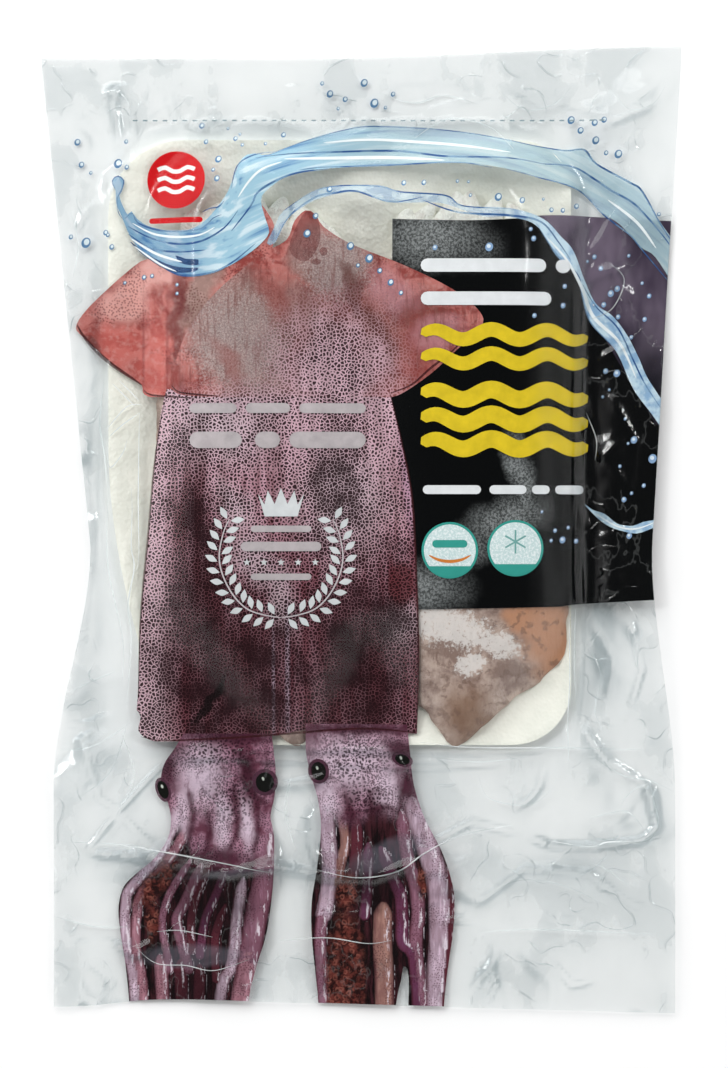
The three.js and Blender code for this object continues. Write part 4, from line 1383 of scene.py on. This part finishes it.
def crown_shape():
    middle, foot, half = CROWN["middle"], CROWN["foot"], CROWN["half"]
    wide = half + CROWN["spread"]
    ridge = [(middle + wide * x, foot + CROWN["height"] * y) for x, y in CROWN_RIDGE]
    return [Vector(spot) for spot in [(middle - half, foot), *ridge, (middle + half, foot)]]


def star(x, y, radius):
    return [Vector((x, y)) + Vector((math.sin(i * math.pi / 5), math.cos(i * math.pi / 5)))
            * radius * (1 if i % 2 == 0 else STARS["waist"]) for i in range(10)]


def disc_cap(x, y):
    """The lower part of a disc, below a level line."""
    radius = DISC["radius"] - DISC["ring"] / 2
    start = math.asin(DISC["cap_from"] / radius)
    steps = DISC["cap_steps"]
    return [polar(x, y, radius, math.pi - start + (math.pi + 2 * start) * i / steps)
            for i in range(steps + 1)]


def snowflake(x, y, radius, width, turn):
    """Three strokes that cross in their middles."""
    ways = [polar(0, 0, 1, math.pi / 3 * i + turn) * radius for i in range(3)]
    return [stroke([Vector((x, y)) - way, Vector((x, y)) + way], width, 0) for way in ways]


def mirrored(points):
    """The same points on the other side of the wreath's axis."""
    return [(2 * WREATH_AXIS - x, y) for x, y in points]


def print_marks():
    printed("pale_bars", "marks", [bar(*size) for size in PALE_BARS],
            finish("white_ink", plain_ink(232, 234, 236, unevenness=0.2)))
    printed("skin_bars", "marks", [bar(*size) for size in SKIN_BARS],
            finish("skin_white_ink", plain_ink(214, 204, 206, 0.86, unevenness=0.4)))
    waves = [stroke(wave_line(*WAVES["x"], y, WAVES["length"], WAVES["swing"]), width, 0.16)
             for y, width in WAVES["rows"]]
    printed("yellow_waves", "marks", waves, finish("yellow_ink", plain_ink(236, 206, 44, unevenness=0.35)))
    stars = [star(STARS["first"] + STARS["step"] * i, STARS["y"], STARS["radius"])
             for i in range(STARS["count"])]
    printed("wreath", "marks", [*wreath_leaves(), crown_shape(), *stars],
            finish("wreath_ink", plain_ink(222, 224, 226, unevenness=0.25)))
    stem = [stroke(line, 0.5, 0.2) for line in (STEM, mirrored(STEM))]
    printed("wreath_stem", "mark_fields", stem, finish("stem_ink", plain_ink(206, 196, 200)), crossing=True)
    x, y = BADGE["place"]
    red = finish("red_ink", plain_ink(206, 24, 30))
    printed("badge", "mark_fields", [oval(x, y, BADGE["radius"], sides=48), bar(*BADGE["bar"])], red)
    half, size = BADGE_WAVES["half"], (BADGE_WAVES["length"], BADGE_WAVES["swing"])
    lines = [stroke(wave_line(x - half, x + half, y + row, *size), BADGE_WAVES["width"], 0)
             for row in BADGE_WAVES["rows"]]
    printed("badge_waves", "marks", lines, finish("badge_white_ink", plain_ink(240, 240, 238)))
    teal = finish("teal_ink", plain_ink(58, 158, 146))
    printed("disc_rings", "glints", [oval(*spot, DISC["radius"], sides=48) for spot in DISCS], teal)
    inner = DISC["radius"] - DISC["ring"]
    printed("disc_fields", "mark_fields", [oval(*spot, inner, sides=48) for spot in DISCS],
            finish("disc_white_ink", disc_field_ink))
    x, y = DISCS[0]
    sign = bar(x - DISC_BAR["half"], x + DISC_BAR["half"], y + DISC_BAR["up"], DISC_BAR["height"])
    printed("disc_caps", "marks", [*[disc_cap(*spot) for spot in DISCS], sign], teal)
    arc = stroke([(x + east, y + north) for east, north in DISC_ARC], 1.1)
    printed("disc_arc", "marks", [arc], finish("orange_ink", plain_ink(214, 130, 62)))
    flake = snowflake(DISCS[1][0], DISCS[1][1] + DISC_FLAKE["up"], DISC_FLAKE["radius"], DISC_FLAKE["width"],
                      DISC_FLAKE["turn"])
    printed("disc_flake", "marks", flake, finish("flake_ink", plain_ink(120, 172, 168)), crossing=True)
    dashes = []
    place = TEAR_LINE["x"][0]
    while place < TEAR_LINE["x"][1]:
        dashes.append(bar(place, place + TEAR_LINE["dash"], TEAR_LINE["y"], TEAR_LINE["height"]))
        place += TEAR_LINE["dash"] * 2
    printed("tear_line", "marks", dashes, finish("tear_ink", plain_ink(150, 168, 174)))


def disc_field_ink(here):
    ice = between(grain(here, 0.8, 3, 0.7), 0.42, 0.66)
    return ink(here, mixed(here, ice, rgb(196, 216, 216), rgb(232, 238, 238)))


print_marks()

# ---- The painted fold highlights ----
# White ink drawn along the sharp folds stands in for the lights' glints on their edges: painted highlights.
# The folds run out from the corners of the tray and across the loose film.
FOLDS = [  # width, then the line
    (0.45, [(-88.1, 51.5), (-89.7, 37), (-88.1, 26.4), (-86.7, 13)]),
    (0.4, [(-87.4, 34.3), (-80.3, 42.2), (-75.3, 42.9)]),
    (0.4, [(-86.7, 31.6), (-81.7, 36.1), (-76, 40)]),
    (0.35, [(-80.3, 30.7), (-81.7, 26.4), (-86, 21.4), (-87, 27)]),
    (0.45, [(-78.8, 14.4), (-78.5, 7.2), (-78.8, -5.7), (-77.8, -12.9), (-79.9, -25.7), (-78.8, -37.7),
        (-80.4, -60)]),
    (0.35, [(-76, 40), (-76.4, 11.4), (-76.2, -9.3), (-77.4, -14.3)]),
    (0.35, [(-86.7, 12.9), (-86.9, -11.3), (-81.7, -37.7), (-82, -52)]),
    (0.35, [(-85.2, 50.1), (-77.4, 42.2)]),
    (0.35, [(-83.2, 51.5), (-76, 44.2)]),
    (0.45, [(-84.2, -48.4), (-91.6, -51.5), (-100.4, -55.9)]),
    (0.45, [(-79.8, -64.7), (-85.7, -82.3), (-96, -91.2)]),
    (0.35, [(-79, -66), (-92, -74), (-103, -75)]),
    (0.35, [(-82, -70), (-78, -84), (-84, -98)]),
    (0.5, [(-104, -106.8), (-84, -107.6), (-66.7, -110.4), (-48, -114), (-31.2, -117.2), (-27, -115.6)]),
    (0.5, [(-17, -115.8), (-2, -119), (12, -117), (22, -110.4), (34, -104.6), (52, -101)]),
    (0.4, [(78.4, -77), (89.1, -83.9), (98.7, -85.8), (107, -89.6)]),
    (0.45, [(98.7, -85.8), (100.3, -93.9), (101.5, -98.5), (100.7, -103.1), (96.9, -106.6), (84.5, -106.9),
        (78.4, -108.5), (64, -106.4)]),
    (0.35, [(98.2, -86.8), (93.7, -88.7), (89.9, -92.3), (89.1, -94.7)]),
    (0.4, [(78.4, -98.9), (89.1, -96.2), (93.7, -98.5), (98, -104.6)]),
    (0.35, [(92.2, -32.4), (94.1, -37.8), (96, -35.5), (94.9, -32.4)]),
    (0.35, [(93, -40.8), (94.1, -47), (94.9, -38.6)]),
    (0.4, [(79.1, -114.2), (83.8, -116.2), (89.1, -120), (93.7, -122.7)]),
    (0.4, [(70.9, -30), (71.3, -50), (70.6, -66), (71.2, -82)]),
    (0.35, [(73.2, -27), (72.8, -46), (73.8, -60)]),
    (0.4, [(20, -72.6), (37.9, -74.4), (70.8, -74.6), (98.6, -75.4)]),
    (0.35, [(26, -78), (40, -79.4), (56, -77.8)]),
    (0.4, [(78, -40), (82, -50), (80, -62), (84, -70)]),
    (0.4, [(-104.9, -132.5), (-92, -135.8), (-80, -136)]),
    (0.35, [(-77.5, -140.5), (-75.9, -144.2), (-69.9, -148.6), (-60, -149.2), (-50.5, -150.9),
        (-38.5, -147.1)]),
    (0.35, [(-70, -137.6), (-62, -137.2), (-51, -139.4)]),
    (0.4, [(-28, -140.6), (-12, -139.6), (2, -141.6), (10, -140.6)]),
    (0.4, [(40, -138), (60, -136.8), (101.4, -138.4)]),
    (0.35, [(42, -126), (54, -120), (70, -122), (86, -130)]),
    (0.35, [(-24, -84), (-26, -96), (-23, -108)]),
    (0.35, [(40, -84), (44, -92), (58, -94), (66, -88)]),
    (0.35, [(-92, 148), (-85, 150.6), (-80, 146.6), (-78.6, 138)]),
    (0.35, [(6, 150), (18, 146.4), (28, 149), (40, 146)]),
    (0.35, [(48, 150), (56, 144), (66, 146), (72, 152)]),
    (0.35, [(18, 134), (30, 141), (44, 138), (52, 130)]),
    (0.35, [(86, 150), (92, 144), (100, 146), (104, 152)]),
    (0.35, [(-100, 110), (-97, 98), (-99, 86)]),
    (0.35, [(77, 40), (80.4, 31), (80, 24)]),
    (0.35, [(84, 92), (90, 86), (86, 76), (78, 72)]),
]


def painted_fold_highlight_ink(here):
    """Painted highlights: white where the film is clear, and thinner over the dark inks of the arms and the
    panel.
    """
    x = here.part("X")
    y = here.part("Y")
    over_arms = between(x, -86, -80) * between(x, 34, 28) * between(y, -66, -72)
    over_panel = between(x, 66, 72) * between(y, -30, -24) * between(y, 110, 104)
    tone = mixed(here, grain(here, 5, 3, 0.6), rgb(250, 252, 252), rgb(226, 232, 233))
    return ink(here, tone, 0.45, 0.8 - 0.42 * largest([over_arms, over_panel]))


# White ink along the folds: painted highlights of the lights' glints.
printed("painted_fold_highlights", "folds", [stroke(line, width, 0.8) for width, line in FOLDS],
        finish("painted_fold_highlight_ink", painted_fold_highlight_ink), crossing=True)
